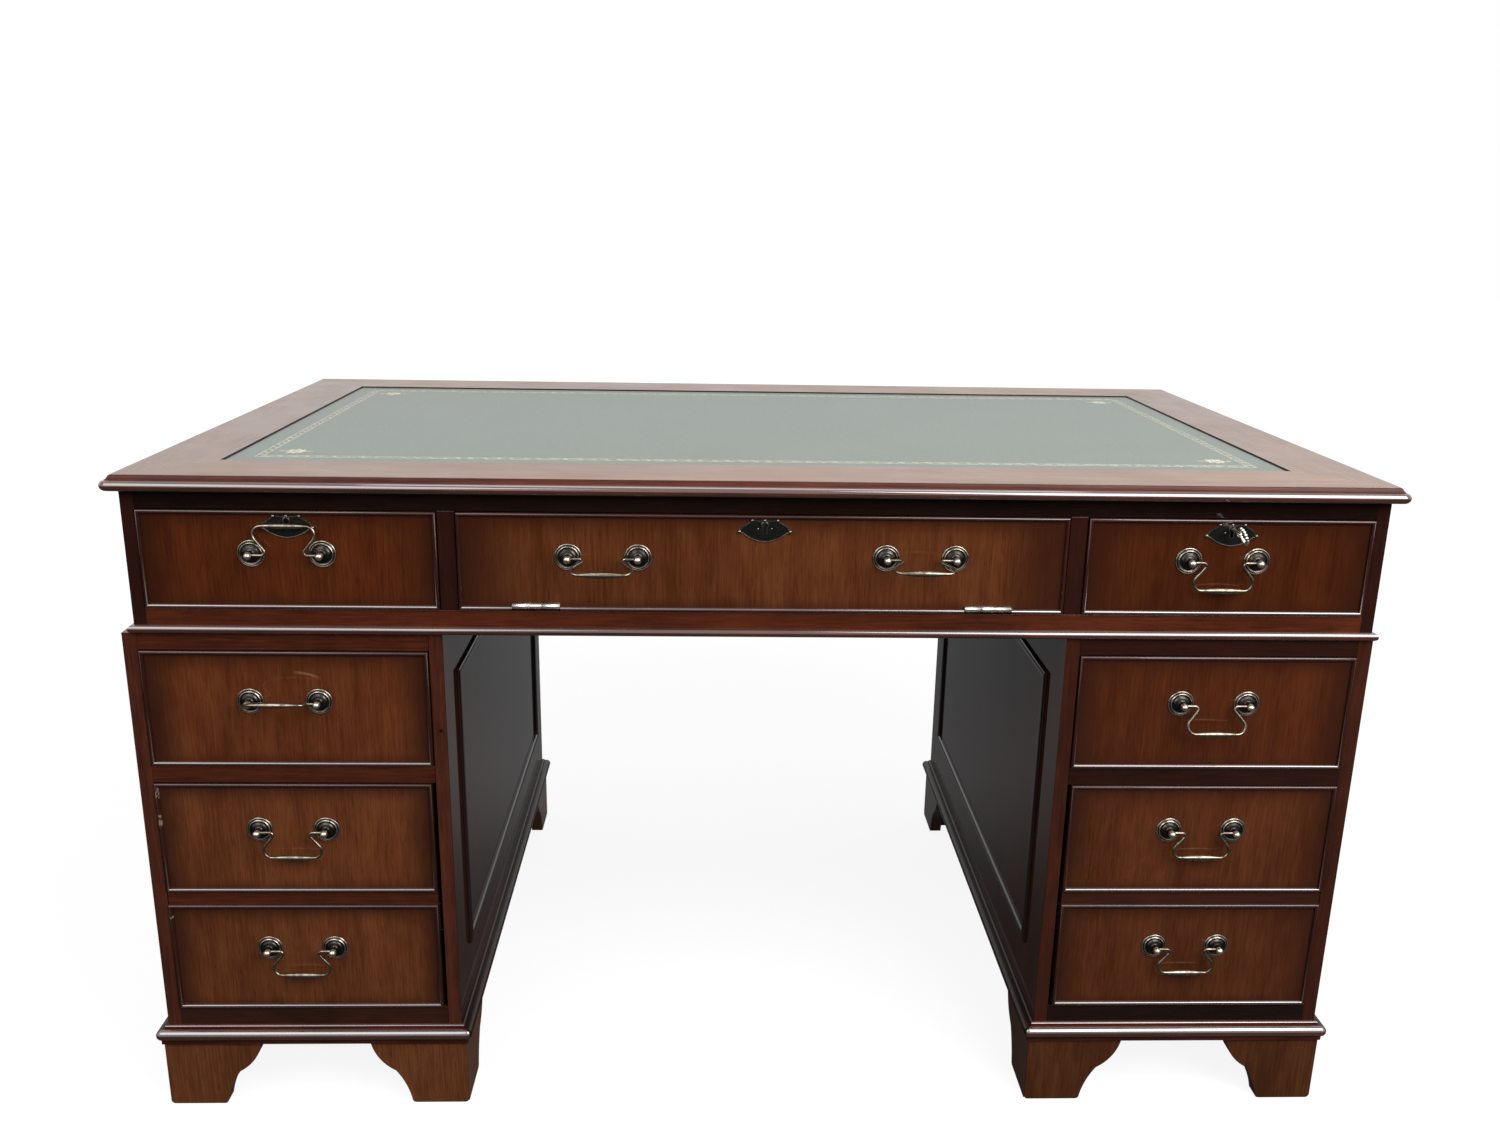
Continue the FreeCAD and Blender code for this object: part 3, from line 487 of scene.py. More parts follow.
class Shell:
    """The surfaces of one piece. Each is a grid of points, joined by quads."""

    def __init__(self) -> None:
        """Starts empty."""
        self.points: list[np.ndarray] = []
        self.loops: list[np.ndarray] = []
        self.sizes: list[np.ndarray] = []
        self.slots: list[np.ndarray] = []
        self.count = 0

    def surface(self, grid: np.ndarray, wrap_rows: bool = False, wrap_columns: bool = False,
                first: End = End.OPEN, last: End = End.OPEN, slot: Any = 0) -> "Shell":
        """Adds one surface; the point in row i and column j is grid[i, j].

        Args:
            grid: rows by columns by 3 points.
            wrap_rows: join the last row to the first.
            wrap_columns: join the last column to the first.
            first: how the first row is closed: open, a flat face, or a pole whose points are one.
            last: the same for the last row.
            slot: the material's number, for all faces, for each row, or for each row and column.

        Returns:
            This shell.
        """
        body = grid[int(first is End.POLE):len(grid) - int(last is End.POLE)]
        rows, columns = body.shape[:2]
        index = np.arange(rows * columns).reshape(rows, columns)
        near = index if wrap_rows else index[:-1]
        far = np.roll(index, -1, axis=0) if wrap_rows else index[1:]
        if wrap_columns:
            near_next, far_next = np.roll(near, -1, axis=1), np.roll(far, -1, axis=1)
        else:
            near_next, far_next = near[:, 1:], far[:, 1:]
            near, far = near[:, :-1], far[:, :-1]
        points = [body.reshape(-1, 3)]
        faces = [np.stack([near, far, far_next, near_next], axis=-1).reshape(-1, 4)]
        marks = np.asarray(slot)
        marks = marks if marks.ndim == 2 else marks.reshape(-1, 1)
        slots = [np.broadcast_to(marks, near.shape).reshape(-1)]
        count = rows * columns
        for end, row, pole, mark in ((first, index[0], grid[0, 0], np.ravel(slot)[0]),
                                     (last, index[-1][::-1], grid[-1, 0], np.ravel(slot)[-1])):
            if end is End.FLAT:
                faces.append(row.reshape(1, -1))
                slots.append(np.full(1, mark))
            elif end is End.POLE:
                after = np.roll(row, -1)
                faces.append(np.stack([row, after, np.full_like(row, count)], axis=-1))
                slots.append(np.full(len(row), mark))
                points.append(pole.reshape(1, 3))
                count += 1
        everything = np.concatenate(points)
        middle = everything.mean(axis=0)
        volume = 0.0
        for group in faces:
            corners = everything[group] - middle
            for k in range(1, group.shape[1] - 1):
                turned = np.cross(corners[:, k], corners[:, k + 1])
                volume += float(np.sum(corners[:, 0] * turned))
        for group, marks in zip(faces, slots):
            if volume < 0:
                group = group[:, ::-1]
            self.loops.append((group + self.count).reshape(-1))
            self.sizes.append(np.full(len(group), group.shape[1]))
            self.slots.append(marks)
        self.points.append(everything)
        self.count += len(everything)
        return self

    def board(self, low: Sequence[float], high: Sequence[float], along: Grain, ease: float = 0.0007,
              slot: Any = 0) -> "Shell":
        """Adds a board between two corners, with its arrises eased to a small radius."""
        return self.bar(eased_board(low, high, along, ease), slot)

    def end_boards(self, low: Sequence[float], high: Sequence[float], thickness: float, along: Grain,
                   ease: float, slot: Any = 0) -> "Shell":
        """Adds the two upright boards at the ends of a box."""
        for x0, x1 in end_spans(low, high, thickness):
            self.board((x0, low[1], low[2]), (x1, high[1], high[2]), along, ease, slot)
        return self

    def bar(self, grid: np.ndarray, slot: Any = 0) -> "Shell":
        """Adds closed cross-sections in a row, with a flat face at each end."""
        return self.surface(grid, wrap_columns=True, first=End.FLAT, last=End.FLAT, slot=slot)

    def ring(self, grid: np.ndarray, slot: Any = 0) -> "Shell":
        """Adds closed cross-sections whose last joins the first."""
        return self.surface(grid, wrap_rows=True, wrap_columns=True, slot=slot)

    def turned(self, profile: np.ndarray, origin: np.ndarray, axis: np.ndarray, sides: int,
               slot: Any = 0) -> "Shell":
        """Adds a turned part, which comes to a pole at each end."""
        return self.surface(lathe(profile, origin, axis, sides), wrap_columns=True,
                            first=End.POLE, last=End.POLE, slot=slot)

    def solid(self, triangles: np.ndarray, slot: int = 0) -> "Shell":
        """Adds a closed solid that is given as loose triangles, with its equal corners made one."""
        points, index = np.unique(np.round(triangles.reshape(-1, 3), 7), axis=0, return_inverse=True)
        faces = index.reshape(-1, 3)
        faces = faces[np.all(faces != np.roll(faces, -1, axis=1), axis=1)]
        self.points.append(points)
        self.loops.append((faces + self.count).reshape(-1))
        self.sizes.append(np.full(len(faces), 3))
        self.slots.append(np.full(len(faces), slot))
        self.count += len(points)
        return self

    def piece(self, name: str, body: str, slot: str, finishes: Iterable[Finish],
              stands_for: Sequence[str] = (), sharp: float = 38.0) -> bpy.types.Object:
        """Makes the object, dresses it and lets it ride.

        Args:
            name: the piece's name.
            body: the CAD body that it rides on.
            slot: the record's material slot; not used.
            finishes: one finish for each material number of its faces.
            stands_for: the CAD nodes that it stands for.
            sharp: the angle in degrees past which an edge stays sharp.

        Returns:
            The object, which sits at the origin with its place in its mesh.
        """
        mesh = bpy.data.meshes.new(name)
        points = np.concatenate(self.points)
        loops = np.concatenate(self.loops)
        sizes = np.concatenate(self.sizes)
        mesh.vertices.add(len(points))
        mesh.vertices.foreach_set("co", points.astype(np.float32).reshape(-1))
        mesh.loops.add(len(loops))
        mesh.loops.foreach_set("vertex_index", loops.astype(np.int32))
        mesh.polygons.add(len(sizes))
        starts = np.concatenate([[0], np.cumsum(sizes)[:-1]])
        mesh.polygons.foreach_set("loop_start", starts.astype(np.int32))
        mesh.polygons.foreach_set("material_index", np.concatenate(self.slots).astype(np.int32))
        for finish in finishes:
            mesh.materials.append(finish.material())
        mesh.update(calc_edges=True)
        mesh.validate()
        mesh.shade_smooth()
        mesh.set_sharp_from_angle(angle=math.radians(sharp))
        return ride(bpy.data.objects.new(name, mesh), body, stands_for)


def ride(piece: bpy.types.Object, body: str, stands_for: Sequence[str],
         weighted: bool = True) -> bpy.types.Object:
    """Links a finished piece, lets it ride on a body, and reports it.

    Weighted normals follow the larger faces, so that a flat face stays flat up to its rounded arrises.
    """
    bpy.context.scene.collection.objects.link(piece)
    if weighted:
        weigh = piece.modifiers.new("weigh_normals_by_area", "WEIGHTED_NORMAL")
        weigh.keep_sharp = True
    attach(piece, body)
    if stands_for:
        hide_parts(*stands_for)
    log.info("%s: %d faces on %s", piece.name, len(piece.data.polygons), body)
    return piece


def body_of(node: str) -> str:
    """The CAD body that a node rides on."""
    return frame["nodes"][node]["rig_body"]


def corners(node: str) -> tuple[np.ndarray, np.ndarray]:
    """The lowest and the highest corner of a CAD node."""
    low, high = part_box(node)
    return np.array(low), np.array(high)


def joint_called(name: str) -> dict[str, Any]:
    """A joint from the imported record."""
    return next(joint for joint in frame["joints"] if joint["name"] == name)


def end_spans(low: Sequence[float], high: Sequence[float], thickness: float) -> tuple[Pair, Pair]:
    """Where the two boards at the ends of a box lie in x."""
    return (low[0], low[0] + thickness), (high[0] - thickness, high[0])


def solids_of(node: str) -> list[np.ndarray]:
    """The solids of a CAD node, each as triangles by corners by 3.

    The node's triangles come solid by solid. Each edge is shared by two triangles of one solid, so a
    solid ends at each place in the order that no such pair spans.
    """
    mesh = frame["nodes"][node].data
    points = np.empty(len(mesh.vertices) * 3)
    mesh.vertices.foreach_get("co", points)
    corner = np.empty(len(mesh.loops), dtype=np.int64)
    mesh.loops.foreach_get("vertex_index", corner)
    triangles = points.reshape(-1, 3)[corner].reshape(-1, 3, 3)
    _, index = np.unique(np.round(triangles.reshape(-1, 3), 6), axis=0, return_inverse=True)
    index = index.reshape(-1, 3)
    edges = np.sort(np.stack([index, np.roll(index, -1, axis=1)], axis=-1).reshape(-1, 2), axis=1)
    owner = np.repeat(np.arange(len(index)), 3)
    order = np.lexsort((owner, edges[:, 1], edges[:, 0]))
    pairs = owner[order].reshape(-1, 2)
    change = np.zeros(len(index) + 1, dtype=np.int64)
    np.add.at(change, pairs[:, 0] + 1, 1)
    np.add.at(change, pairs[:, 1] + 1, -1)
    starts = np.flatnonzero(np.cumsum(change)[:-1] == 0)
    return np.split(triangles, starts[1:])


def dress(node: str, finish: Finish) -> None:
    """Gives a CAD node that stays its material."""
    materials = frame["nodes"][node].data.materials
    materials.clear()
    materials.append(finish.material())
    log.info("%s: the frame's own solid, dressed", node)


def smoothed_copy(node: str, name: str, finish: Finish, sharp: float = 32.0) -> None:
    """A CAD node's mesh, merged and shaded smooth, as a piece that stands for it."""
    mesh = frame["nodes"][node].data.copy()
    mesh.name = name
    piece = bpy.data.objects.new(name, mesh)
    bpy.context.scene.collection.objects.link(piece)
    with bpy.context.temp_override(object=piece, active_object=piece, selected_objects=[piece]):
        weld = piece.modifiers.new("weld", "WELD")
        weld.merge_threshold = 1e-6
        bpy.ops.object.modifier_apply(modifier=weld.name)
    bpy.context.scene.collection.objects.unlink(piece)
    mesh = piece.data
    mesh.materials.clear()
    mesh.materials.append(finish.material())
    mesh.shade_smooth()
    mesh.set_sharp_from_angle(angle=math.radians(sharp))
    ride(piece, body_of(node), [node], weighted=False)


def arc(centre: Pair, radius: float, start: float, end: float, count: int) -> np.ndarray:
    """Points round a centre, from one angle in degrees to another: centre + radius (cos a, sin a)."""
    angle = np.radians(np.linspace(start, end, count))
    return np.stack([centre[0] + radius * np.cos(angle), centre[1] + radius * np.sin(angle)], axis=-1)


def arc_through(start: Pair, middle: Pair, end: Pair, count: int) -> np.ndarray:
    """Points on the circle through three points, from the first to the last.

    The centre is as far from all three, so it solves the two linear equations
    2 (middle - start) . c = |middle|^2 - |start|^2 and the same for the end.
    """
    a, b, c = (np.array(point, float) for point in (start, middle, end))
    centre = np.linalg.solve(2 * np.array([b - a, c - a]), [b @ b - a @ a, c @ c - a @ a])
    angles = [math.atan2(*(point - centre)[::-1]) for point in (a, b, c)]
    turn = (angles[2] - angles[0]) % (2 * math.pi)
    if (angles[1] - angles[0]) % (2 * math.pi) > turn:
        turn -= 2 * math.pi
    return arc(tuple(centre), float(np.linalg.norm(a - centre)), math.degrees(angles[0]),
               math.degrees(angles[0] + turn), count)


def path_of(*stretches: Any) -> np.ndarray:
    """Points and arrays of points as one array."""
    return np.concatenate([np.atleast_2d(np.array(stretch, float)) for stretch in stretches])


def eased_board(low: Sequence[float], high: Sequence[float], along: Grain, ease: float) -> np.ndarray:
    """A board as rings of a rounded section along its length.

    At an angle t from 20 to 90 degrees, the ring lies ease (1 - cos t) in from the end and its
    section is drawn in by ease (1 - sin t); the section's corners are quarter circles.
    """
    low, high = np.array(low, float), np.array(high, float)
    run = along.value
    side, rise = [axis for axis in range(3) if axis != run]
    turn = np.radians([20.0, 55.0, 90.0])
    lead = ease * (1 - np.cos(turn))
    inset = ease * (1 - np.sin(turn))
    station = np.concatenate([low[run] + lead, (high[run] - lead)[::-1]])
    inset = np.concatenate([inset, inset[::-1]])
    angle = np.radians(np.arange(4)[:, None] * 90 + np.array([0.0, 45.0, 90.0])).reshape(-1)
    quarter = np.repeat(np.arange(4), 3)
    sign = {side: np.where((quarter == 0) | (quarter == 3), 1, -1), rise: np.where(quarter < 2, 1, -1)}
    wave = {side: np.cos(angle), rise: np.sin(angle)}
    grid = np.empty((len(station), len(angle), 3))
    grid[:, :, run] = station[:, None]
    for axis in (side, rise):
        half = (high[axis] - low[axis]) / 2
        radius = (ease - inset)[:, None]
        core = half - inset[:, None] - radius
        grid[:, :, axis] = (high[axis] + low[axis]) / 2 + core * sign[axis] + radius * wave[axis]
    return grid


def mitred_ring(profile: np.ndarray, low: Pair, high: Pair, origin: np.ndarray,
                across: np.ndarray, up: np.ndarray, out: np.ndarray) -> np.ndarray:
    """Four mitred lengths of moulding round a rectangle: 4 corners by the profile's points.

    A profile point (o, r) stands o outside the rectangle on every side and r above its plane:
    origin + (corner across, moved by o) across + (corner up, moved by o) up + r out.
    """
    reach, rise = profile[:, 0], profile[:, 1]
    a = np.stack([low[0] - reach, high[0] + reach, high[0] + reach, low[0] - reach])
    b = np.stack([low[1] - reach, low[1] - reach, high[1] + reach, high[1] + reach])
    return origin + a[..., None] * across + b[..., None] * up + rise[None, :, None] * out


def level_ring(profile: np.ndarray, low: np.ndarray, high: np.ndarray) -> np.ndarray:
    """Four mitred lengths of moulding that lie level, the profile's second number being the height."""
    return mitred_ring(profile, low[:2], high[:2], np.zeros(3), X, Y, Z)


def rounded_ring(profile: np.ndarray, low: Pair, high: Pair, radius: float, steps: int = 6) -> np.ndarray:
    """A level ring of moulding whose corners are worn round: 4 (steps + 1) rows by the profile's points.

    The outermost line turns with the radius, and a point that lies d further in turns with radius - d,
    or sharply. A corner's row at angle t is its centre + r (cos t, sin t), with t over a quarter turn.
    """
    reach, rise = profile[:, 0], profile[:, 1]
    sharpest = 0.00015
    turn = np.maximum(radius - (reach.max() - reach), sharpest)
    angle = np.radians(180 + 90 * np.arange(4)[:, None] + np.linspace(0, 90, steps + 1)).reshape(-1, 1)
    corner = np.repeat(np.arange(4), steps + 1)[:, None]
    right, behind = (corner == 1) | (corner == 2), corner >= 2
    a = np.where(right, high[0] + reach - turn, low[0] - reach + turn) + turn * np.cos(angle)
    b = np.where(behind, high[1] + reach - turn, low[1] - reach + turn) + turn * np.sin(angle)
    return np.stack([a, b, np.broadcast_to(rise, a.shape)], axis=-1)


def run_slots(columns: np.ndarray, deep: int, steps: int = 6) -> np.ndarray:
    """The slots of a rounded ring, for each row and column.

    The runs across have the columns' own slots, and the runs in depth have deep more.
    """
    row = np.arange(4 * (steps + 1))
    run = (row // (steps + 1) - (row % (steps + 1) < steps // 2)) % 4
    return columns[None, :] + deep * (run % 2)[:, None]


def lathe(profile: np.ndarray, origin: np.ndarray, axis: np.ndarray, sides: int) -> np.ndarray:
    """A profile turned round an axis: origin + h axis + r (cos a u + sin a v), for (r, h) and angle a."""
    u = Z if abs(axis[2]) < 0.5 else X
    v = np.cross(axis, u)
    angle = np.linspace(0, 2 * math.pi, sides, endpoint=False)
    spoke = np.cos(angle)[:, None] * u + np.sin(angle)[:, None] * v
    return origin + profile[:, 1, None, None] * axis + profile[:, 0, None, None] * spoke


def tube(path: np.ndarray, radius: np.ndarray, sides: int, across: np.ndarray,
         closed: bool = False) -> np.ndarray:
    """A round bar along a path in a plane: p + r (cos a n + sin a b), b square to the plane, n = b x t."""
    if closed:
        tangent = np.roll(path, -1, axis=0) - np.roll(path, 1, axis=0)
    else:
        tangent = np.gradient(path, axis=0)
    tangent /= np.linalg.norm(tangent, axis=1, keepdims=True)
    normal = np.cross(across, tangent)
    angle = np.linspace(0, 2 * math.pi, sides, endpoint=False)
    spoke = (np.cos(angle)[None, :, None] * normal[:, None, :]
             + np.sin(angle)[None, :, None] * across[None, None, :])
    return path[:, None, :] + radius[:, None, None] * spoke


def drawn_in(outline: np.ndarray, distance: float) -> np.ndarray:
    """A closed outline moved inwards by a distance, along the mean normal of its two edges."""
    tangent = np.roll(outline, -1, axis=0) - np.roll(outline, 1, axis=0)
    tangent /= np.linalg.norm(tangent, axis=1, keepdims=True)
    inward = np.stack([-tangent[:, 1], tangent[:, 0]], axis=-1)
    return outline + distance * inward


def in_plane(rings: Sequence[tuple[np.ndarray, float]], origin: np.ndarray, across: np.ndarray,
             up: np.ndarray, out: np.ndarray) -> np.ndarray:
    """Flat rings, each at its own height, as a grid: origin + a across + b up + height out."""
    return np.stack([origin + ring[:, :1] * across + ring[:, 1:] * up + height * out
                     for ring, height in rings])


# Carcass, from the frieze down to the feet. The right-hand pedestal is stained darker than the left.
STILE = Mahogany("stile_mahogany", light=(0.086, 0.0225, 0.0110), dark=(0.042, 0.0105, 0.0056))
RAIL = Mahogany("rail_mahogany", Grain.ACROSS, light=(0.084, 0.0185, 0.0070), dark=(0.036, 0.0078, 0.0034))
# Near black: on the frieze's upper rail this is painted shade under the top's overhang; the right
# pedestal's low rail takes the same dark colour.
DARK_RAIL_AND_SHADE = Mahogany("dark_rail_mahogany", Grain.ACROSS, light=(0.012, 0.0045, 0.0034),
                       dark=(0.006, 0.0024, 0.0020))
RIGHT_RAIL = replace(RAIL, name="right_rail_mahogany", light=(0.024, 0.0066, 0.0038),
                     dark=(0.013, 0.0036, 0.0022), ior=1.36)
RIGHT_FALSE_RAIL = replace(RAIL, name="right_false_rail_mahogany", light=(0.044, 0.0118, 0.0062),
                           dark=(0.024, 0.0064, 0.0036))
LEFT_LOW_RAIL = Mahogany("left_low_rail_mahogany", Grain.ACROSS, light=(0.044, 0.0140, 0.0066),
                         dark=(0.024, 0.0072, 0.0036))
LEFT_STILE = replace(STILE, name="left_stile_mahogany", chip=(0.004, 0.002, 0.0015),
                     marks=(Mark(-0.3454, 0.4755, 0.0026, 0.0030, ragged=0.2),))
RIGHT_STILE = replace(STILE, name="right_stile_mahogany", light=(0.050, 0.0125, 0.0062),
                      dark=(0.026, 0.0068, 0.0036), ior=1.36)
# Near black for the frieze muntins and the front edges of the frieze ends: painted shade under the overhang
# and between the fronts.
MUNTIN_SHADE = Mahogany("muntin_mahogany", light=(0.026, 0.0070, 0.0045), dark=(0.014, 0.0038, 0.0026))
SIDE = Mahogany("side_mahogany", light=(0.040, 0.0120, 0.0052), dark=(0.022, 0.0066, 0.0034), gloss=0.07,
                ior=1.36)
RIGHT_SIDE = replace(SIDE, name="right_side_mahogany", light=(0.052, 0.0140, 0.0056),
                     dark=(0.029, 0.0076, 0.0036), ior=1.27)
OUTSIDE = Mahogany("outside_mahogany", light=(0.098, 0.0260, 0.0090), dark=(0.054, 0.0130, 0.0048),
                   gloss=0.12)
BACK = replace(OUTSIDE, name="back_mahogany", gloss=0.18)
LEFT_FOOT = Mahogany("left_foot_mahogany", light=(0.156, 0.0520, 0.0170), dark=(0.086, 0.0250, 0.0080),
                     gloss=0.16)
RIGHT_FOOT = Mahogany("right_foot_mahogany", light=(0.092, 0.0290, 0.0095), dark=(0.048, 0.0135, 0.0046),
                      gloss=0.16)
# Mouldings and cock beads, which carry the thickest lacquer.
MOULD_ACROSS = Mahogany("moulding_across", Grain.ACROSS, light=(0.074, 0.0190, 0.0080),
                        dark=(0.034, 0.0080, 0.0040), gloss=0.08, ior=1.70, coat=1.0)
MOULD_DEEP = Mahogany("moulding_deep", Grain.DEEP, light=(0.050, 0.0130, 0.0062),
                      dark=(0.022, 0.0058, 0.0034), gloss=0.08, ior=1.60, coat=1.0)
TORUS = replace(MOULD_ACROSS, name="plinth_torus_across", coat_gloss=0.11, coat_ior=1.95)
# Near black for the plinth's runs in depth: painted shade of the kneehole, where the inner run lies; the
# outer runs take it too.
PLINTH_SIDE_SHADE = Mahogany("plinth_torus_deep", Grain.DEEP, light=(0.020, 0.0066, 0.0040),
                      dark=(0.010, 0.0034, 0.0024), gloss=0.22, ior=1.30)
SLOPE_ACROSS = Mahogany("edge_slope_across", Grain.ACROSS, light=(0.076, 0.0190, 0.0110),
                        dark=(0.038, 0.0088, 0.0056), gloss=0.30, ior=1.22)
SLOPE_DEEP = replace(SLOPE_ACROSS, name="edge_slope_deep", grain=Grain.DEEP)
# Near black for the quirk and inner wall of the edge moulding and the walls and floor of the groove round
# the leather: painted shade in these narrow recesses.
GROOVE_SHADE = Mahogany("dark_quirk", Grain.ACROSS, light=(0.008, 0.0030, 0.0024), dark=(0.004, 0.0016, 0.0014),
                 gloss=0.45, ior=1.2)
# Near black for the applied panel mouldings: painted shade, standing for the dark line of shadow round the
# panels in the kneehole.
PANEL_MOULD_SHADE = Mahogany("panel_moulding", light=(0.016, 0.0052, 0.0034), dark=(0.009, 0.0032, 0.0024),
                       gloss=0.12, ior=1.6)
BEAD_ACROSS = Mahogany("cock_bead_across", Grain.ACROSS, light=(0.062, 0.0165, 0.0090),
                       dark=(0.028, 0.0074, 0.0044), gloss=0.10, ior=1.70, coat=1.0, coat_ior=2.0)
# The beads above the panels and the upright beads are darker copies of the lower bead's colour: painted
# shade, the lower bead standing lit.
BEAD_ABOVE_SHADED = Mahogany("cock_bead_above", Grain.ACROSS, light=(0.044, 0.0120, 0.0070),
                      dark=(0.020, 0.0054, 0.0034), gloss=0.12, ior=1.60)
BEAD_UPRIGHT_SHADED = Mahogany("cock_bead_upright", Grain.UPRIGHT, light=(0.036, 0.0100, 0.0060),
                        dark=(0.018, 0.0050, 0.0034), gloss=0.10, ior=1.55)
# The top, whose lacquer is worn to a satin.
TOP_ACROSS = Mahogany("top_border_across", Grain.ACROSS, light=(0.200, 0.102, 0.054),
                      dark=(0.120, 0.054, 0.028), gloss=0.30, ior=1.66, streak_scale=220.0)
TOP_DEEP = Mahogany("top_border_deep", Grain.DEEP, light=(0.185, 0.098, 0.058),
                    dark=(0.112, 0.054, 0.030), gloss=0.26, ior=1.5, streak_scale=220.0)
# Linings, leather and metals.
LINING = BareWood("drawer_lining_wood")
LINING_ACROSS = BareWood("drawer_lining_wood_across", Grain.ACROSS)
HIDE = Leather("green_hide")
GOLD = Gilt("gilt_tooling")
BRASS = Metal("antique_brass")
BRASS_BALL = Metal("rubbed_brass_ball", bright=(0.56, 0.50, 0.40), patina=(0.36, 0.31, 0.24), gloss=0.24)
BRASS_RIM = Metal("rubbed_brass_rim", bright=(0.50, 0.44, 0.36), patina=(0.22, 0.19, 0.155), gloss=0.15)
BRASS_FIELD = Metal("dark_brass_field", bright=(0.060, 0.052, 0.046), patina=(0.022, 0.019, 0.018),
                    gloss=0.22)
PLATE_RIM = Metal("rubbed_plate_rim", bright=(0.24, 0.22, 0.19), patina=(0.080, 0.078, 0.070), gloss=0.22)
PLATE_FIELD = Metal("dark_plate_field", bright=(0.036, 0.036, 0.032), patina=(0.014, 0.014, 0.013),
                    gloss=0.30)
KEY_METAL = Metal("key_metal", bright=(0.78, 0.74, 0.66), patina=(0.40, 0.37, 0.32), cover=0.42, gloss=0.16)
# Dark iron, made darker still so that the lock seen through the keyhole reads dark: partly the iron's own
# colour, partly painted shade.
LOCK_METAL = Metal("dark_lock_iron", bright=(0.16, 0.15, 0.13), patina=(0.07, 0.065, 0.06), gloss=0.38)
HINGE_METAL = Metal("hinge_plating", bright=(0.88, 0.84, 0.76), patina=(0.62, 0.58, 0.50), cover=0.36,
                    gloss=0.22)
SLIDE_METAL = Metal("zinc_plated_steel", bright=(0.60, 0.61, 0.60), patina=(0.42, 0.43, 0.42), cover=0.45,
                    gloss=0.26)
FLOOR = PaleFloor("pale_floor")
# The gap between a front and its opening.
FRONT_GAP = 0.001
# The columns of an upright eased board that face the front, as slot 1.
FRONT_COLUMNS = (np.abs(np.arange(12) - 8) <= 1).astype(int)[None, :]


class Veneer(Enum):
    """The hue of a front's wood, as its light and its dark colour."""

    WARM = ((0.122, 0.0370, 0.0120), (0.068, 0.0175, 0.0050))
    PLAIN = ((0.108, 0.0300, 0.0090), (0.060, 0.0142, 0.0038))
    RED = ((0.082, 0.0195, 0.0050), (0.046, 0.0094, 0.0023))


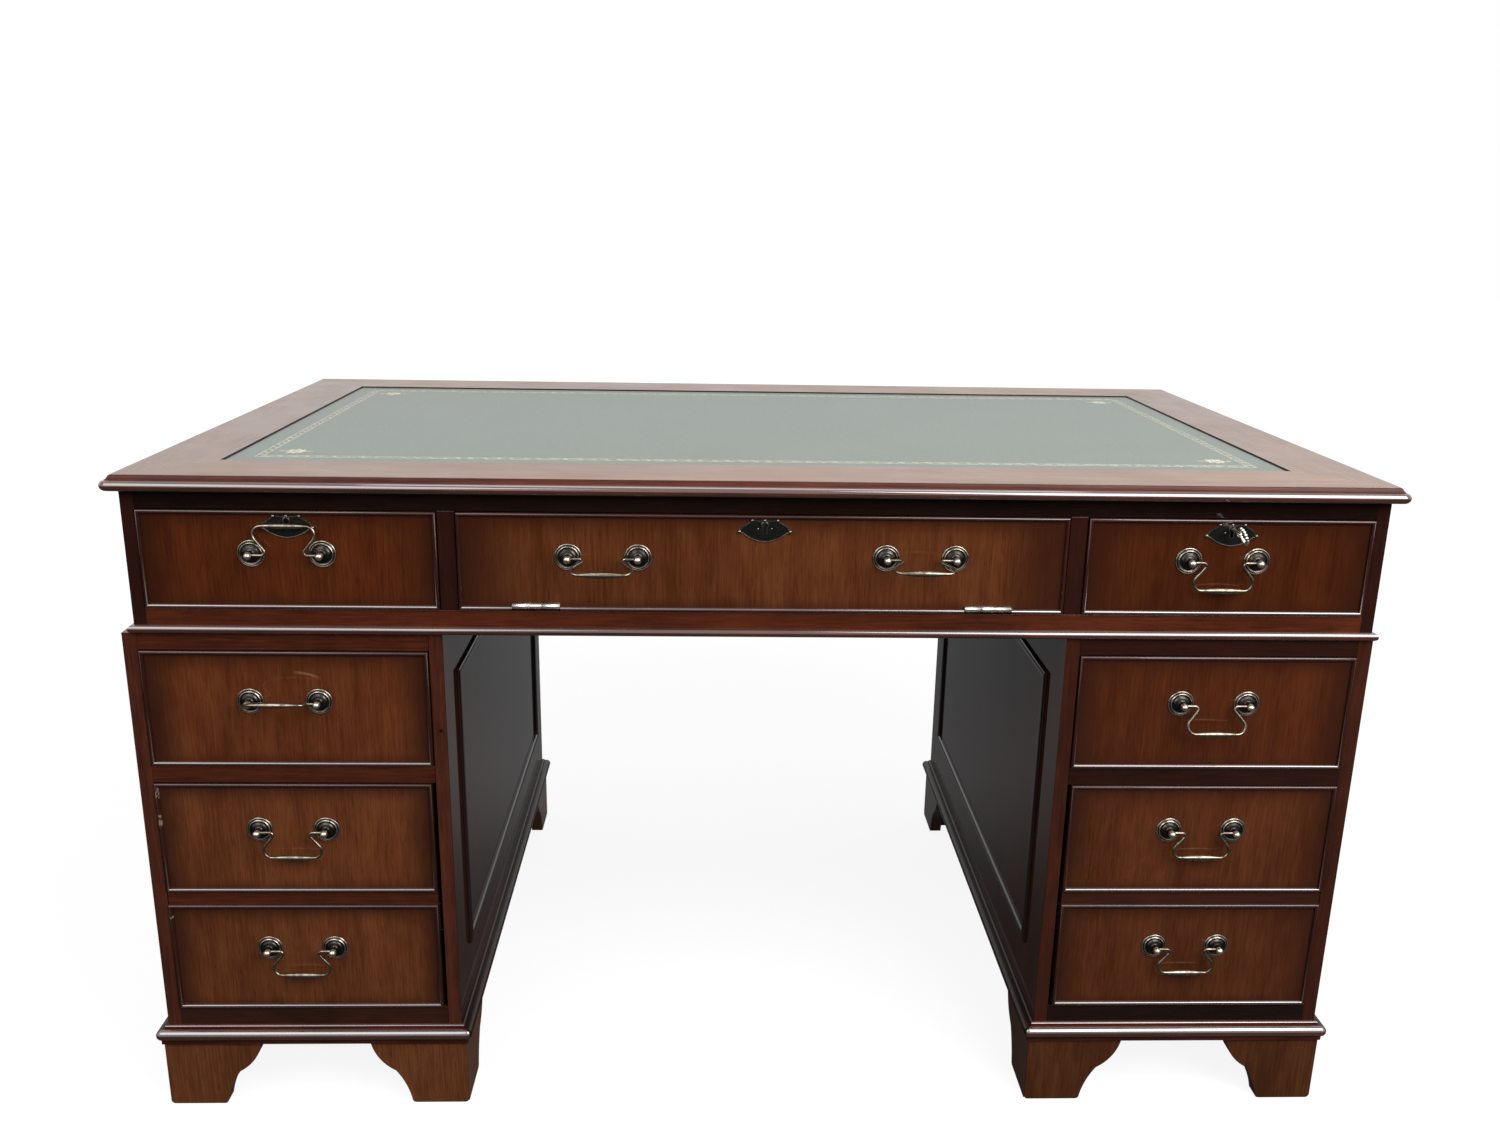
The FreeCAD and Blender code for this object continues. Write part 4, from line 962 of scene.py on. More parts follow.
@dataclass
class WritingTop:
    """The framed top, its edge moulding, the leather let into it and the gilt tooling on that."""

    ease: float = 0.0006
    board_lap: float = 0.02
    groove_depth: float = 0.0002
    edge_width: float = 0.0108
    quirk: float = 0.0009
    nose_radius: float = 0.0054
    nose_back: float = 0.0058
    nose_points: int = 18
    nose_underside: float = 0.6
    slope_points: int = 9
    corner_radius: float = 0.010
    groove: float = 0.0011
    leather_ease: float = 0.0006
    gilt_thickness: float = 0.00012
    band_inset: float = 0.0265
    band_width: float = 0.0090
    fillet: float = 0.0010
    pitch: float = 0.0150
    scroll_share: float = 0.62
    scroll_wave: float = 0.22
    scroll_hair: float = 0.00022
    scroll_swell: float = 0.0010
    ornament_inset: float = 0.0620
    ornament_radius: float = 0.0125
    petals: int = 8
    petal_start: float = 0.0040
    petal_hair: float = 0.0003
    petal_swell: float = 0.0028
    point_gap: float = 0.0012
    point_length: float = 0.0065
    point_width: float = 0.0020

    def build(self) -> None:
        """Makes the five pieces."""
        self.border()
        self.moulding()
        self.leather()
        self.tooling()
        self.ornaments()

    def border(self) -> None:
        """Four mitred boards round the leather, and the board under it.

        Their outer wall, and the inner wall and the floor of the groove round the leather, are near black:
        painted shade in the groove.
        """
        low, high = corners("top_board")
        inner_low, inner_high = corners("leather_skiver")
        bottom, top = low[2], high[2]
        width = inner_low[0] - low[0]
        floor = inner_low[2] - self.groove_depth
        inner = arc((self.ease - width, top - self.ease), -self.ease, -90, -180, 4)
        reach = -width - self.board_lap
        profile = path_of((0, bottom), arc((-self.ease, top - self.ease), self.ease, 0, 90, 4), inner,
                          (-width, floor), (reach, floor), (reach, bottom))
        slot = np.array([0, 1, 0, 1])[:, None] + np.zeros(len(profile), dtype=int)
        outer_wall, inner_wall, groove_floor = 0, 8, 9
        slot[:, [outer_wall, inner_wall, groove_floor]] = 2
        shell = Shell().ring(level_ring(profile, low, high), slot)
        shell.board((low[0] - reach, low[1] - reach, bottom), (high[0] + reach, high[1] + reach, floor),
                    Grain.ACROSS)
        shell.piece("top_border", "root", "mahogany_carcass", [TOP_ACROSS, TOP_DEEP, GROOVE_SHADE], ["top_board"])

    def moulding(self) -> None:
        """The moulded edge: a quirk, a hollow slope and a torus nose."""
        low, high = corners("top_board")
        height = high[2] - low[2]
        nose = self.edge_width - self.nose_radius
        middle = height - self.nose_back - self.nose_radius
        step = height - self.quirk
        slope = middle + self.nose_radius
        hollow = ((self.quirk + nose) / 2, (slope + step) / 2 - self.quirk / 2)
        profile = path_of((0, 0), (nose * self.nose_underside, 0),
                          arc((nose, middle), self.nose_radius, -90, 90, self.nose_points),
                          arc_through((nose, slope), hollow, (self.quirk, step), self.slope_points)[1:],
                          (0, step))
        profile[:, 1] += low[2]
        ring = rounded_ring(profile, low[:2], high[:2], self.corner_radius)
        slot = run_slots(2 * (np.arange(len(profile)) > self.nose_points), 1)
        # The quirk and the inner wall take the painted groove shade.
        slot[:, -2:] = 4
        Shell().ring(ring, slot).piece(
            "top_edge_run", "root", "mahogany_moulding",
            [MOULD_ACROSS, MOULD_DEEP, SLOPE_ACROSS, SLOPE_DEEP, GROOVE_SHADE], ["top_edge_moulding"])

    def leather(self) -> None:
        """The leather, its edge turned down into a narrow groove."""
        low, high = corners("leather_skiver")
        gap = np.array([self.groove, self.groove, 0])
        Shell().board(low + gap, high - gap, Grain.ACROSS, self.leather_ease).piece(
            "leather_writing_surface", "root", "green_leather", [HIDE], ["leather_skiver"])

    def tooling(self) -> None:
        """Two gilt lines round the leather with a run of small scrolls between them.

        A scroll's middle line is (s, w sin 2 pi s) for s from 0 to 1, and its half width is a hair line
        plus a swell times sin^2 pi s, so that it is broadest at s = 1/2.
        """
        low, high = corners("leather_skiver")
        top = high[2]
        shell = Shell()
        thick = self.gilt_thickness
        for inset in (self.band_inset, self.band_inset + self.band_width - self.fillet):
            profile = np.array([(-inset - self.fillet, top), (-inset, top), (-inset, top + thick),
                                (-inset - self.fillet, top + thick)])
            shell.ring(level_ring(profile, low, high))
        share = np.linspace(0, 1, 11)
        middle = np.stack([(share - 0.5) * self.scroll_share * self.pitch,
                           self.scroll_wave * self.band_width * np.sin(2 * math.pi * share)], axis=-1)
        half = self.scroll_hair + self.scroll_swell * np.sin(math.pi * share) ** 2
        inset = self.band_inset + self.band_width / 2
        line_low, line_high = low[:2] + inset, high[:2] - inset
        for axis in (0, 1):
            length = line_high[axis] - line_low[axis]
            count = int(length // self.pitch)
            along, aside = (X, Y) if axis == 0 else (Y, X)
            other = 1 - axis
            for edge in (line_low[other], line_high[other]):
                for place in line_low[axis] + (np.arange(count) + 0.5) * length / count:
                    origin = along * place + aside * edge + Z * top
                    self.scroll(shell, middle, half, origin, along, aside)
        shell.piece("gilt_border", "root", "green_leather", [GOLD])

    def scroll(self, shell: Shell, middle: np.ndarray, half: np.ndarray, origin: np.ndarray,
               along: np.ndarray, aside: np.ndarray) -> None:
        """Adds one flat scroll, four points to each cross-section."""
        side = np.stack([-half, half, half, -half], axis=-1)
        rise = np.array([0, 0, self.gilt_thickness, self.gilt_thickness])
        grid = (origin + middle[:, :1, None] * along + (middle[:, 1:] + side)[..., None] * aside
                + rise[None, :, None] * Z)
        shell.bar(grid)

    def ornaments(self) -> None:
        """A rosette near each corner: eight petals round a boss, and a point to each side."""
        low, high = corners("leather_skiver")
        top = high[2]
        shell = Shell()
        share = np.linspace(0, 1, 9)
        reach = self.ornament_radius
        for x in (low[0] + self.ornament_inset, high[0] - self.ornament_inset):
            for y in (low[1] + self.ornament_inset, high[1] - self.ornament_inset):
                centre = np.array([x, y, top])
                boss = np.array([(0.0, 0.0), (0.0030, 0.0), (0.0028, 0.0002), (0.0, 0.0003)])
                shell.turned(boss, centre, Z, 16)
                for turn in range(self.petals):
                    angle = turn * 2 * math.pi / self.petals
                    along = np.array([math.cos(angle), math.sin(angle), 0])
                    aside = np.array([-along[1], along[0], 0])
                    middle = np.stack([self.petal_start + share * (reach - self.petal_start), 0 * share],
                                      axis=-1)
                    half = self.petal_hair + self.petal_swell * np.sin(math.pi * share ** 0.8)
                    self.scroll(shell, middle, half, centre, along, aside)
                for sign in (-1, 1):
                    middle = np.stack([reach + self.point_gap + share * self.point_length, 0 * share],
                                      axis=-1)
                    half = self.point_width * (1 - share) + 0.0002
                    self.scroll(shell, middle, half, centre, sign * X, Y)
        shell.piece("gilt_corner_rosettes", "root", "green_leather", [GOLD])


@dataclass
class TopSection:
    """The carcass of the three upper drawers and the bead along its foot."""

    end_thickness: float = 0.014
    muntin_width: float = 0.0185
    rail_depth: float = 0.040
    top_rail_depth: float = 0.0196
    bead_height: float = 0.009
    bead_proud: float = 0.0054
    bead_seat: float = 0.002
    ease: float = 0.0006

    def build(self) -> None:
        """Makes the rails, the uprights, the back and the bead."""
        low, high = corners("frieze_rails")
        box_low, box_high = corners("drop_front")
        front_low, front_high = corners("right_frieze_front")
        opening_low, opening_high = front_low[2] - FRONT_GAP, front_high[2] + FRONT_GAP
        edges = (box_low[0] - FRONT_GAP - self.muntin_width, box_high[0] + FRONT_GAP)
        near = low[1]
        Shell().board(low, (high[0], high[1], opening_low), Grain.ACROSS, self.ease).piece(
            "frieze_lower_rail", "root", "mahogany_carcass", [RAIL], ["frieze_rails"])
        # The upper rail is coloured near black as painted shade under the top's overhang.
        Shell().board((low[0], near, opening_high), (high[0], near + self.top_rail_depth, high[2]),
                      Grain.ACROSS, self.ease).piece(
            "frieze_upper_rail", "root", "mahogany_carcass", [DARK_RAIL_AND_SHADE])
        muntins = Shell()
        for edge in edges:
            muntins.board((edge, near, opening_low), (edge + self.muntin_width, high[1], opening_high),
                          Grain.UPRIGHT, self.ease)
        muntins.piece("frieze_muntins", "root", "mahogany_carcass", [MUNTIN_SHADE])
        low, high = corners("frieze_uprights")
        back = corners("frieze_back_board")[0][1]
        # The ends' front edges take the muntins' painted shade.
        ends = Shell().end_boards(low, high, self.end_thickness, Grain.UPRIGHT, self.ease, FRONT_COLUMNS)
        for edge in edges:
            ends.board((edge, low[1] + self.rail_depth, low[2]), (edge + self.muntin_width, back, high[2]),
                       Grain.UPRIGHT, self.ease)
        ends.piece("frieze_ends", "root", "mahogany_carcass", [OUTSIDE, MUNTIN_SHADE], ["frieze_uprights"])
        dress("frieze_back_board", BACK)
        dress("drawer_runners", LINING)
        dress("fixed_slides", SLIDE_METAL)
        middle = self.bead_height / 2
        land = self.bead_proud - middle
        profile = path_of((-self.bead_seat, 0), (land, 0), arc((land, middle), middle, -90, 90, 15)[1:],
                          (-self.bead_seat, self.bead_height))
        profile[:, 1] += low[2]
        Shell().ring(level_ring(profile, low, high), np.array([0, 1, 0, 1])).piece(
            "frieze_bead_run", "root", "mahogany_moulding", [MOULD_ACROSS, MOULD_DEEP],
            ["frieze_bead_moulding"])


@dataclass
class Pedestal:
    """One pedestal: its carcass, panel mouldings, plinth moulding and bracket feet."""

    side: str
    inner_finish: Finish
    stile_finish: Finish
    rail_finish: Finish
    low_rail_finish: Finish
    foot_finish: Finish
    side_thickness: float = 0.0155
    low_rail_depth: float = 0.018
    stile_thickness: float = 0.004
    stile_proud: float = 0.0002
    ease: float = 0.0006
    stile_ease: float = 0.00015
    panel_margin: float = 0.062
    panel_foot_margin: float = 0.0665
    panel_width: float = 0.012
    panel_proud: float = 0.0046
    panel_seat: float = 0.001
    torus_radius: float = 0.0064
    torus_drop: float = 0.0105
    plinth_proud: float = 0.0125
    plinth_seat: float = 0.002
    fillet_proud: float = 0.0076
    step_height: float = 0.001
    step_proud: float = 0.0034
    foot_proud: float = 0.0052
    foot_base: float = 0.066
    foot_spur: float = 0.046
    foot_thickness: float = 0.018
    foot_block: float = 0.034
    foot_block_lift: float = 0.004
    foot_toe: float = 0.005
    foot_heel: float = 0.0035
    ogee: tuple[Pair, Pair, Pair] = ((0.16, 0.30), (0.40, 0.53), (0.80, 0.73))

    def build(self) -> None:
        """Makes the four groups of pieces."""
        self.carcass()
        self.panels()
        self.plinth()
        self.feet()

    def carcass(self) -> None:
        """Sides, rails, back and boards."""
        low, high = corners(self.side + "_pedestal_sides")
        sides = Shell()
        inner = int(self.side == "left")
        for number, (x0, x1) in enumerate(end_spans(low, high, self.side_thickness)):
            sides.board((x0, low[1], low[2]), (x1, high[1], high[2]), Grain.UPRIGHT, self.ease,
                        slot=int(number == inner))
        sides.piece(self.side + "_pedestal_panels", "root", "mahogany_carcass",
                    [OUTSIDE, self.inner_finish], [self.side + "_pedestal_sides"])
        stiles = Shell()
        near = low[1]
        for x0, x1 in end_spans(low, high, self.side_thickness):
            stiles.board((x0 + self.ease, near - self.stile_proud, low[2]),
                         (x1 - self.ease, near + self.stile_thickness, high[2]), Grain.UPRIGHT,
                         self.stile_ease)
        stiles.piece(self.side + "_pedestal_stiles", "root", "mahogany_carcass", [self.stile_finish])
        upper_low, upper_high = corners(self.side + "_pedestal_drawer_front")
        filing_low, filing_high = corners(self.side + "_filing_front")
        low, high = corners(self.side + "_pedestal_rails")
        rails = Shell()
        rails.board((low[0], low[1], upper_high[2] + FRONT_GAP), high, Grain.ACROSS, self.ease)
        rails.board((low[0], low[1], filing_high[2] + FRONT_GAP),
                    (high[0], high[1], upper_low[2] - FRONT_GAP), Grain.ACROSS, self.ease)
        rails.board(low, (high[0], low[1] + self.low_rail_depth, filing_low[2] - FRONT_GAP), Grain.ACROSS,
                    self.ease, slot=1)
        rails.piece(self.side + "_pedestal_rail_boards", "root", "mahogany_carcass",
                    [self.rail_finish, self.low_rail_finish], [self.side + "_pedestal_rails"])
        dress(self.side + "_pedestal_back", BACK)
        dress(self.side + "_pedestal_boards", LINING_ACROSS)

    def panels(self) -> None:
        """The applied mouldings that frame the panels on the sides and the back."""
        low, high = corners(self.side + "_pedestal_sides")
        plinth_top = corners(self.side + "_plinth_moulding")[1][2]
        width, lip = self.panel_width, self.panel_proud / 3
        crown = arc_through((0, lip), (-width / 2, self.panel_proud), (-width, lip), 13)
        profile = path_of((0, -self.panel_seat), (0, lip), crown[1:], (-width, -self.panel_seat))
        bottom = plinth_top + self.panel_foot_margin
        top = high[2] - self.panel_margin
        shell = Shell()
        for x, out in ((low[0], -X), (high[0], X)):
            ring = mitred_ring(profile, (low[1] + self.panel_margin, bottom),
                               (high[1] - self.panel_margin, top), X * x, Y, Z, out)
            shell.ring(ring)
        ring = mitred_ring(profile, (low[0] + self.panel_margin, bottom),
                           (high[0] - self.panel_margin, top), Y * high[1], X, Z, Y)
        shell.ring(ring)
        shell.piece(self.side + "_panel_moulding_frames", "root", "mahogany_moulding", [PANEL_MOULD_SHADE],
                    [self.side + "_panel_mouldings"])

    def plinth(self) -> None:
        """The stepped torus moulding: a fillet, a half round, and two small steps above it."""
        low, high = corners(self.side + "_pedestal_sides")
        base, top = (corner[2] for corner in corners(self.side + "_plinth_moulding"))
        height = top - base
        axis = height - self.torus_drop
        shoulder = self.plinth_proud - self.torus_radius
        under = math.degrees(math.acos((self.fillet_proud - shoulder) / self.torus_radius))
        small = 0.0008
        profile = path_of(
            (-self.plinth_seat, 0), (self.fillet_proud, 0),
            arc((shoulder, axis), self.torus_radius, -under, 90, 19),
            (self.step_proud, axis + self.torus_radius),
            arc((self.step_proud - small, height - self.step_height - small), small, 0, 90, 4),
            (self.step_proud / 2, height), (-self.plinth_seat, height))
        profile[:, 1] += base
        ring = rounded_ring(profile, low[:2], high[:2], self.torus_radius)
        column = np.arange(len(profile))
        torus, upper_step = (column > 5) & (column < 20), (column > 21) & (column < 25)
        # The runs in depth take the painted shade of the kneehole.
        Shell().ring(ring, run_slots(2 * (torus | upper_step), 1)).piece(
            self.side + "_plinth_run", "root", "mahogany_moulding",
            [SLOPE_ACROSS, PLINTH_SIDE_SHADE, TORUS, PLINTH_SIDE_SHADE], [self.side + "_plinth_moulding"])

    def outline(self, height: float) -> np.ndarray:
        """A bracket's outline: eased toes and an ogee up to the tip of the spur."""
        tip = self.foot_base + self.foot_spur
        low, turn, up = ((self.foot_base + self.foot_spur * run, height * rise) for run, rise in self.ogee)
        toe, heel = self.foot_toe, self.foot_heel
        base = self.foot_base
        start = (base + heel / 4, heel)
        return path_of((0, height), arc((toe, toe), toe, 180, 270, 7),
                       arc_through((base - heel, 0), (base - heel / 4, heel / 4), start, 6),
                       arc_through(start, low, turn, 14)[1:], arc_through(turn, up, (tip, height), 14)[1:])

    def feet(self) -> None:
        """Four bracket feet, each of two mitred brackets and a corner block."""
        low, high = corners(self.side + "_pedestal_sides")
        height = low[2]
        outline = self.outline(height)
        proud = self.foot_proud
        shell = Shell()
        small = 0.0005
        for x, along in ((low[0] - proud, X), (high[0] + proud, -X)):
            for y, inward in ((low[1] - proud, Y), (high[1] + proud, -Y)):
                corner = X * x + Y * y
                for run, depth in ((along, inward), (inward, along)):
                    rings = []
                    for draw, deep in ((small, 0.0), (0.0, small), (0.0, self.foot_thickness)):
                        ring = np.maximum(drawn_in(outline, draw), [deep, 0.0])
                        ring[:, 1] = np.minimum(ring[:, 1], height)
                        rings.append((ring, deep))
                    shell.bar(in_plane(rings, corner, run, Z, depth))
                near = corner + (along + inward) * self.foot_thickness
                far = near + (along + inward) * self.foot_block
                shell.board((min(near[0], far[0]), min(near[1], far[1]), self.foot_block_lift),
                            (max(near[0], far[0]), max(near[1], far[1]), height), Grain.UPRIGHT)
        shell.piece(self.side + "_foot_brackets", "root", "mahogany_carcass", [self.foot_finish],
                    [self.side + "_bracket_feet"])


@dataclass
class Handle:
    """A bail handle: two stepped roses with drilled posts, and the swan-neck bail between them."""

    name: str
    centres: float = 0.074
    pivot_out: float = 0.0086
    ball_out: float = 0.0124
    ball_radius: float = 0.0041
    wire: float = 0.0016
    grip: float = 0.0033
    drop: float = 0.031
    stub: float = 0.0132
    stub_start: float = 0.0012
    neck: float = 0.0034
    shoulder: float = 0.009
    shoulder_in: float = 0.014
    rose_sides: int = 48
    wire_sides: int = 16
    outer_rim: Pair = (0.0134, 0.0008)
    inner_rim: tuple[float, float, float] = (0.0108, 0.0123, 0.0018)
    spare_degrees: float = 6.0

    def joint(self) -> dict[str, Any]:
        """The joint that the bail swings on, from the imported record."""
        return joint_called(self.name + "_bail_swing")

    def rose_profile(self) -> np.ndarray:
        """A rose from its rim to its ball, as (radius, height): rolled rims, hollows and a boss."""
        below = np.array([
            (0.0, 0.0), (14.1, 0.0), (14.6, 0.35), (14.6, 0.85), (14.3, 1.25), (13.8, 1.40), (13.2, 1.20),
            (12.7, 1.15), (12.35, 1.45), (12.2, 1.95), (12.05, 2.40), (11.6, 2.70), (11.0, 2.65),
            (10.3, 2.25), (9.6, 2.10), (9.0, 2.30), (8.6, 2.80), (8.2, 3.35), (7.3, 3.80), (6.0, 4.05),
            (4.9, 4.30), (4.2, 4.80), (3.9, 5.50), (3.9, 10.30), (3.55, 10.75)]) / 1000
        start = math.degrees(math.atan2(10.95 - 12.4, 3.75))
        ball = arc((0.0, self.ball_out), self.ball_radius, start, 90, 12)
        ball[-1] = (0.0, self.ball_out + self.ball_radius)
        return path_of(below, ball)

    def rubbed(self, profile: np.ndarray) -> np.ndarray:
        """1 for each row of the two rims, 2 for each row of the ball, and 0 for the dark fields between."""
        radius, height = (profile[1:-2] + profile[2:-1]).T / 2
        outer = (radius > self.outer_rim[0]) & (height > self.outer_rim[1])
        inner = (radius > self.inner_rim[0]) & (radius < self.inner_rim[1]) & (height > self.inner_rim[2])
        ball = height > self.ball_out - 0.8 * self.ball_radius
        return np.where(ball, 2, (outer | inner).astype(int))

    def roses(self, shell: Shell) -> None:
        """Adds the two roses."""
        x, y, z = self.joint()["pos_m"]
        for sign in (-1, 1):
            origin = np.array([x + sign * self.centres / 2, y + self.pivot_out, z])
            profile = self.rose_profile()
            shell.turned(profile, origin, -Y, self.rose_sides, self.rubbed(profile))

    def half_path(self) -> tuple[np.ndarray, np.ndarray]:
        """The bail from its stub to the middle of its grip, and its radius along the way.

        The neck and the shoulder are arcs joined by their common inner tangent. Along the grip the
        radius is wire + (grip - wire) (1 - s^2), s from 1 at the shoulder to 0 at the middle.
        """
        half = self.centres / 2
        neck = (self.stub, -self.neck)
        shoulder = (self.shoulder_in, self.shoulder - self.drop)
        apart = math.hypot(shoulder[0] - neck[0], shoulder[1] - neck[1])
        heading = math.atan2(shoulder[1] - neck[1], shoulder[0] - neck[0])
        turn = math.degrees(heading + math.acos((self.neck + self.shoulder) / apart))
        share = np.linspace(1, 0, 12)[1:]
        grip = np.stack([half - share * (half - self.shoulder_in), np.full(11, -self.drop)], axis=-1)
        path = path_of((self.stub_start, 0), (self.stub * 0.6, 0), arc(neck, self.neck, 90, turn, 12),
                       arc(shoulder, self.shoulder, turn + 180, 270, 14), grip)
        radius = np.full(len(path), self.wire)
        radius[-11:] += (self.grip - self.wire) * (1 - share ** 2)
        return path, radius

    def bail(self) -> None:
        """The bail, raised from hanging by the angle at which it rests."""
        joint = self.joint()
        angle = math.radians(-joint["range_deg"][0] - self.spare_degrees)
        path, radius = self.half_path()
        path = np.concatenate([path, path[-2::-1] * [-1, 1] + [self.centres, 0]])
        radius = np.concatenate([radius, radius[-2::-1]])
        out = np.array([0.0, math.sin(angle), math.cos(angle)])
        across = np.cross(X, out)
        points = np.array(joint["pos_m"]) + (path[:, :1] - self.centres / 2) * X + path[:, 1:] * out
        node = self.name + "_bail"
        Shell().bar(tube(points, radius, self.wire_sides, across)).piece(
            self.name + "_swan_neck", body_of(node), "brass", [BRASS], [node])


@dataclass
class Escutcheon:
    """A pierced lock plate: three bumps above, a ball at each side, a bowed foot and two pins."""

    width: float = 0.058
    rise: float = 0.0049
    fall: float = 0.0186
    thickness: float = 0.0011
    ball: float = 0.0021
    bump: float = 0.0020
    bump_share: float = 0.465
    tip_share: float = 0.39
    shoulder: Pair = (0.83, -0.10)
    corner: Pair = (0.80, -0.50)
    belly: Pair = (0.42, -0.86)
    hole_radius: float = 0.0030
    slot_width: float = 0.0032
    slot_drop: float = 0.0090
    centre_drop: float = 0.0026
    spokes: int = 240
    rim: float = 0.0011
    pin: float = 0.0011
    pin_place: Pair = (0.0072, -0.0040)

    def spoke_angles(self) -> np.ndarray:
        """The angles at which both outlines are sampled."""
        return np.linspace(0, 2 * math.pi, self.spokes, endpoint=False)

    def outer(self) -> np.ndarray:
        """The plate's outline, as the farthest hit of each spoke on its edges, bumps and balls."""
        half = self.width / 2
        bump = half * self.bump_share
        tip = half - self.ball
        level = -self.fall * self.tip_share
        right = path_of((bump, self.rise), (half * self.shoulder[0], self.fall * self.shoulder[1]),
                        (tip, level), arc_through((half * self.corner[0], self.fall * self.corner[1]),
                                                  (half * self.belly[0], self.fall * self.belly[1]),
                                                  (0, -self.fall), 16))
        edge = np.concatenate([right, right[-2::-1] * [-1, 1]])
        reach = spoke_reach(self.spoke_angles(), edge, (0.0, -self.centre_drop))
        for centre, radius in (((-bump, self.rise), self.bump), ((0.0, self.rise), self.bump),
                               ((bump, self.rise), self.bump), ((-tip, level), self.ball),
                               ((tip, level), self.ball)):
            reach = np.maximum(reach, circle_reach(self.spoke_angles(), centre, radius,
                                                   (0.0, -self.centre_drop)))
        return self.spokes_to(reach)

    def hole(self, play: float = 0.0) -> np.ndarray:
        """The keyhole's outline, a circle over a slot, larger by some play."""
        half = self.slot_width / 2 + play
        drop = self.slot_drop + play
        edge = np.array([(half, 0.0), (half, -drop), (-half, -drop), (-half, 0.0)])
        reach = spoke_reach(self.spoke_angles(), edge, (0.0, -self.centre_drop))
        reach = np.maximum(reach, circle_reach(self.spoke_angles(), (0.0, 0.0), self.hole_radius + play,
                                               (0.0, -self.centre_drop)))
        return self.spokes_to(reach)

    def spokes_to(self, reach: np.ndarray) -> np.ndarray:
        """The points at a distance along each spoke."""
        angle = self.spoke_angles()
        return np.stack([reach * np.cos(angle), reach * np.sin(angle) - self.centre_drop], axis=-1)

    def add(self, shell: Shell, x: float, y: float, z: float) -> None:
        """Adds the plate, with a rolled rim, a sunk field and a raised lip round the hole."""
        origin = np.array([x, y, z])
        outer, hole = self.outer(), self.hole()

        def between(share: float) -> np.ndarray:
            """A ring part of the way from the hole to the rim."""
            return hole + share * (outer - hole)

        field_height = self.thickness * 0.80
        rings = [(hole, 0.0), (outer, 0.0), (outer, 0.55 * self.thickness),
                 (drawn_in(outer, 0.22 * self.rim), self.thickness),
                 (drawn_in(outer, 0.60 * self.rim), self.thickness * 1.06),
                 (drawn_in(outer, self.rim), field_height),
                 (between(0.55), field_height + 0.0002), (between(0.28), field_height + 0.0001),
                 (drawn_in(hole, -0.0009), field_height),
                 (drawn_in(hole, -0.0006), self.thickness), (drawn_in(hole, -0.0001), self.thickness)]
        shell.ring(in_plane(rings, origin, X, Z, -Y), np.array([0, 0, 1, 1, 1, 0, 0, 0, 1, 1, 0]))
        half = self.width / 2
        domes = [(sign * (half - self.ball), -self.fall * self.tip_share, self.ball) for sign in (-1, 1)]
        domes += [(run, self.rise, self.bump * 0.92)
                  for run in (-half * self.bump_share, 0.0, half * self.bump_share)]
        domes += [(sign * self.pin_place[0], self.pin_place[1], self.pin) for sign in (-1, 1)]
        for run, rise, radius in domes:
            dome = path_of((0, 0), arc((0, self.thickness * 0.5), radius, 0, 90, 6))
            dome[0], dome[-1, 0] = (0.0, 0.0), 0.0
            dome = np.concatenate([[(0.0, 0.0)], [(radius, 0.0)], dome[1:]])
            shell.turned(dome, origin + X * run + Z * rise, -Y, 16, 2)


def spoke_reach(angle: np.ndarray, edge: np.ndarray, centre: Pair) -> np.ndarray:
    """How far each spoke from a centre runs before it leaves a closed line of points.

    A spoke c + t d meets an edge a + s e where t = (a - c) x e / d x e and s = (a - c) x d / d x e;
    the largest t with s from 0 to 1 counts.
    """
    start = edge - np.array(centre)
    step = np.roll(edge, -1, axis=0) - edge
    ray = np.stack([np.cos(angle), np.sin(angle)], axis=-1)
    across = ray[:, None, 0] * step[None, :, 1] - ray[:, None, 1] * step[None, :, 0]
    across = np.where(np.abs(across) < 1e-12, 1e-12, across)
    reach = (start[:, 0] * step[:, 1] - start[:, 1] * step[:, 0])[None] / across
    share = (start[None, :, 0] * ray[:, None, 1] - start[None, :, 1] * ray[:, None, 0]) / across
    hit = (share >= -1e-6) & (share <= 1 + 1e-6) & (reach > 0)
    return np.where(hit, reach, 0.0).max(axis=1)


def circle_reach(angle: np.ndarray, middle: Pair, radius: float, centre: Pair) -> np.ndarray:
    """The far hit of each spoke on a circle, t = b + sqrt(b^2 - |m|^2 + r^2) with b = d . m, or 0."""
    m = np.array(middle) - np.array(centre)
    b = np.cos(angle) * m[0] + np.sin(angle) * m[1]
    inside = b * b - m @ m + radius * radius
    return np.where((inside > 0) & (b > 0), b + np.sqrt(np.maximum(inside, 0.0)), 0.0)


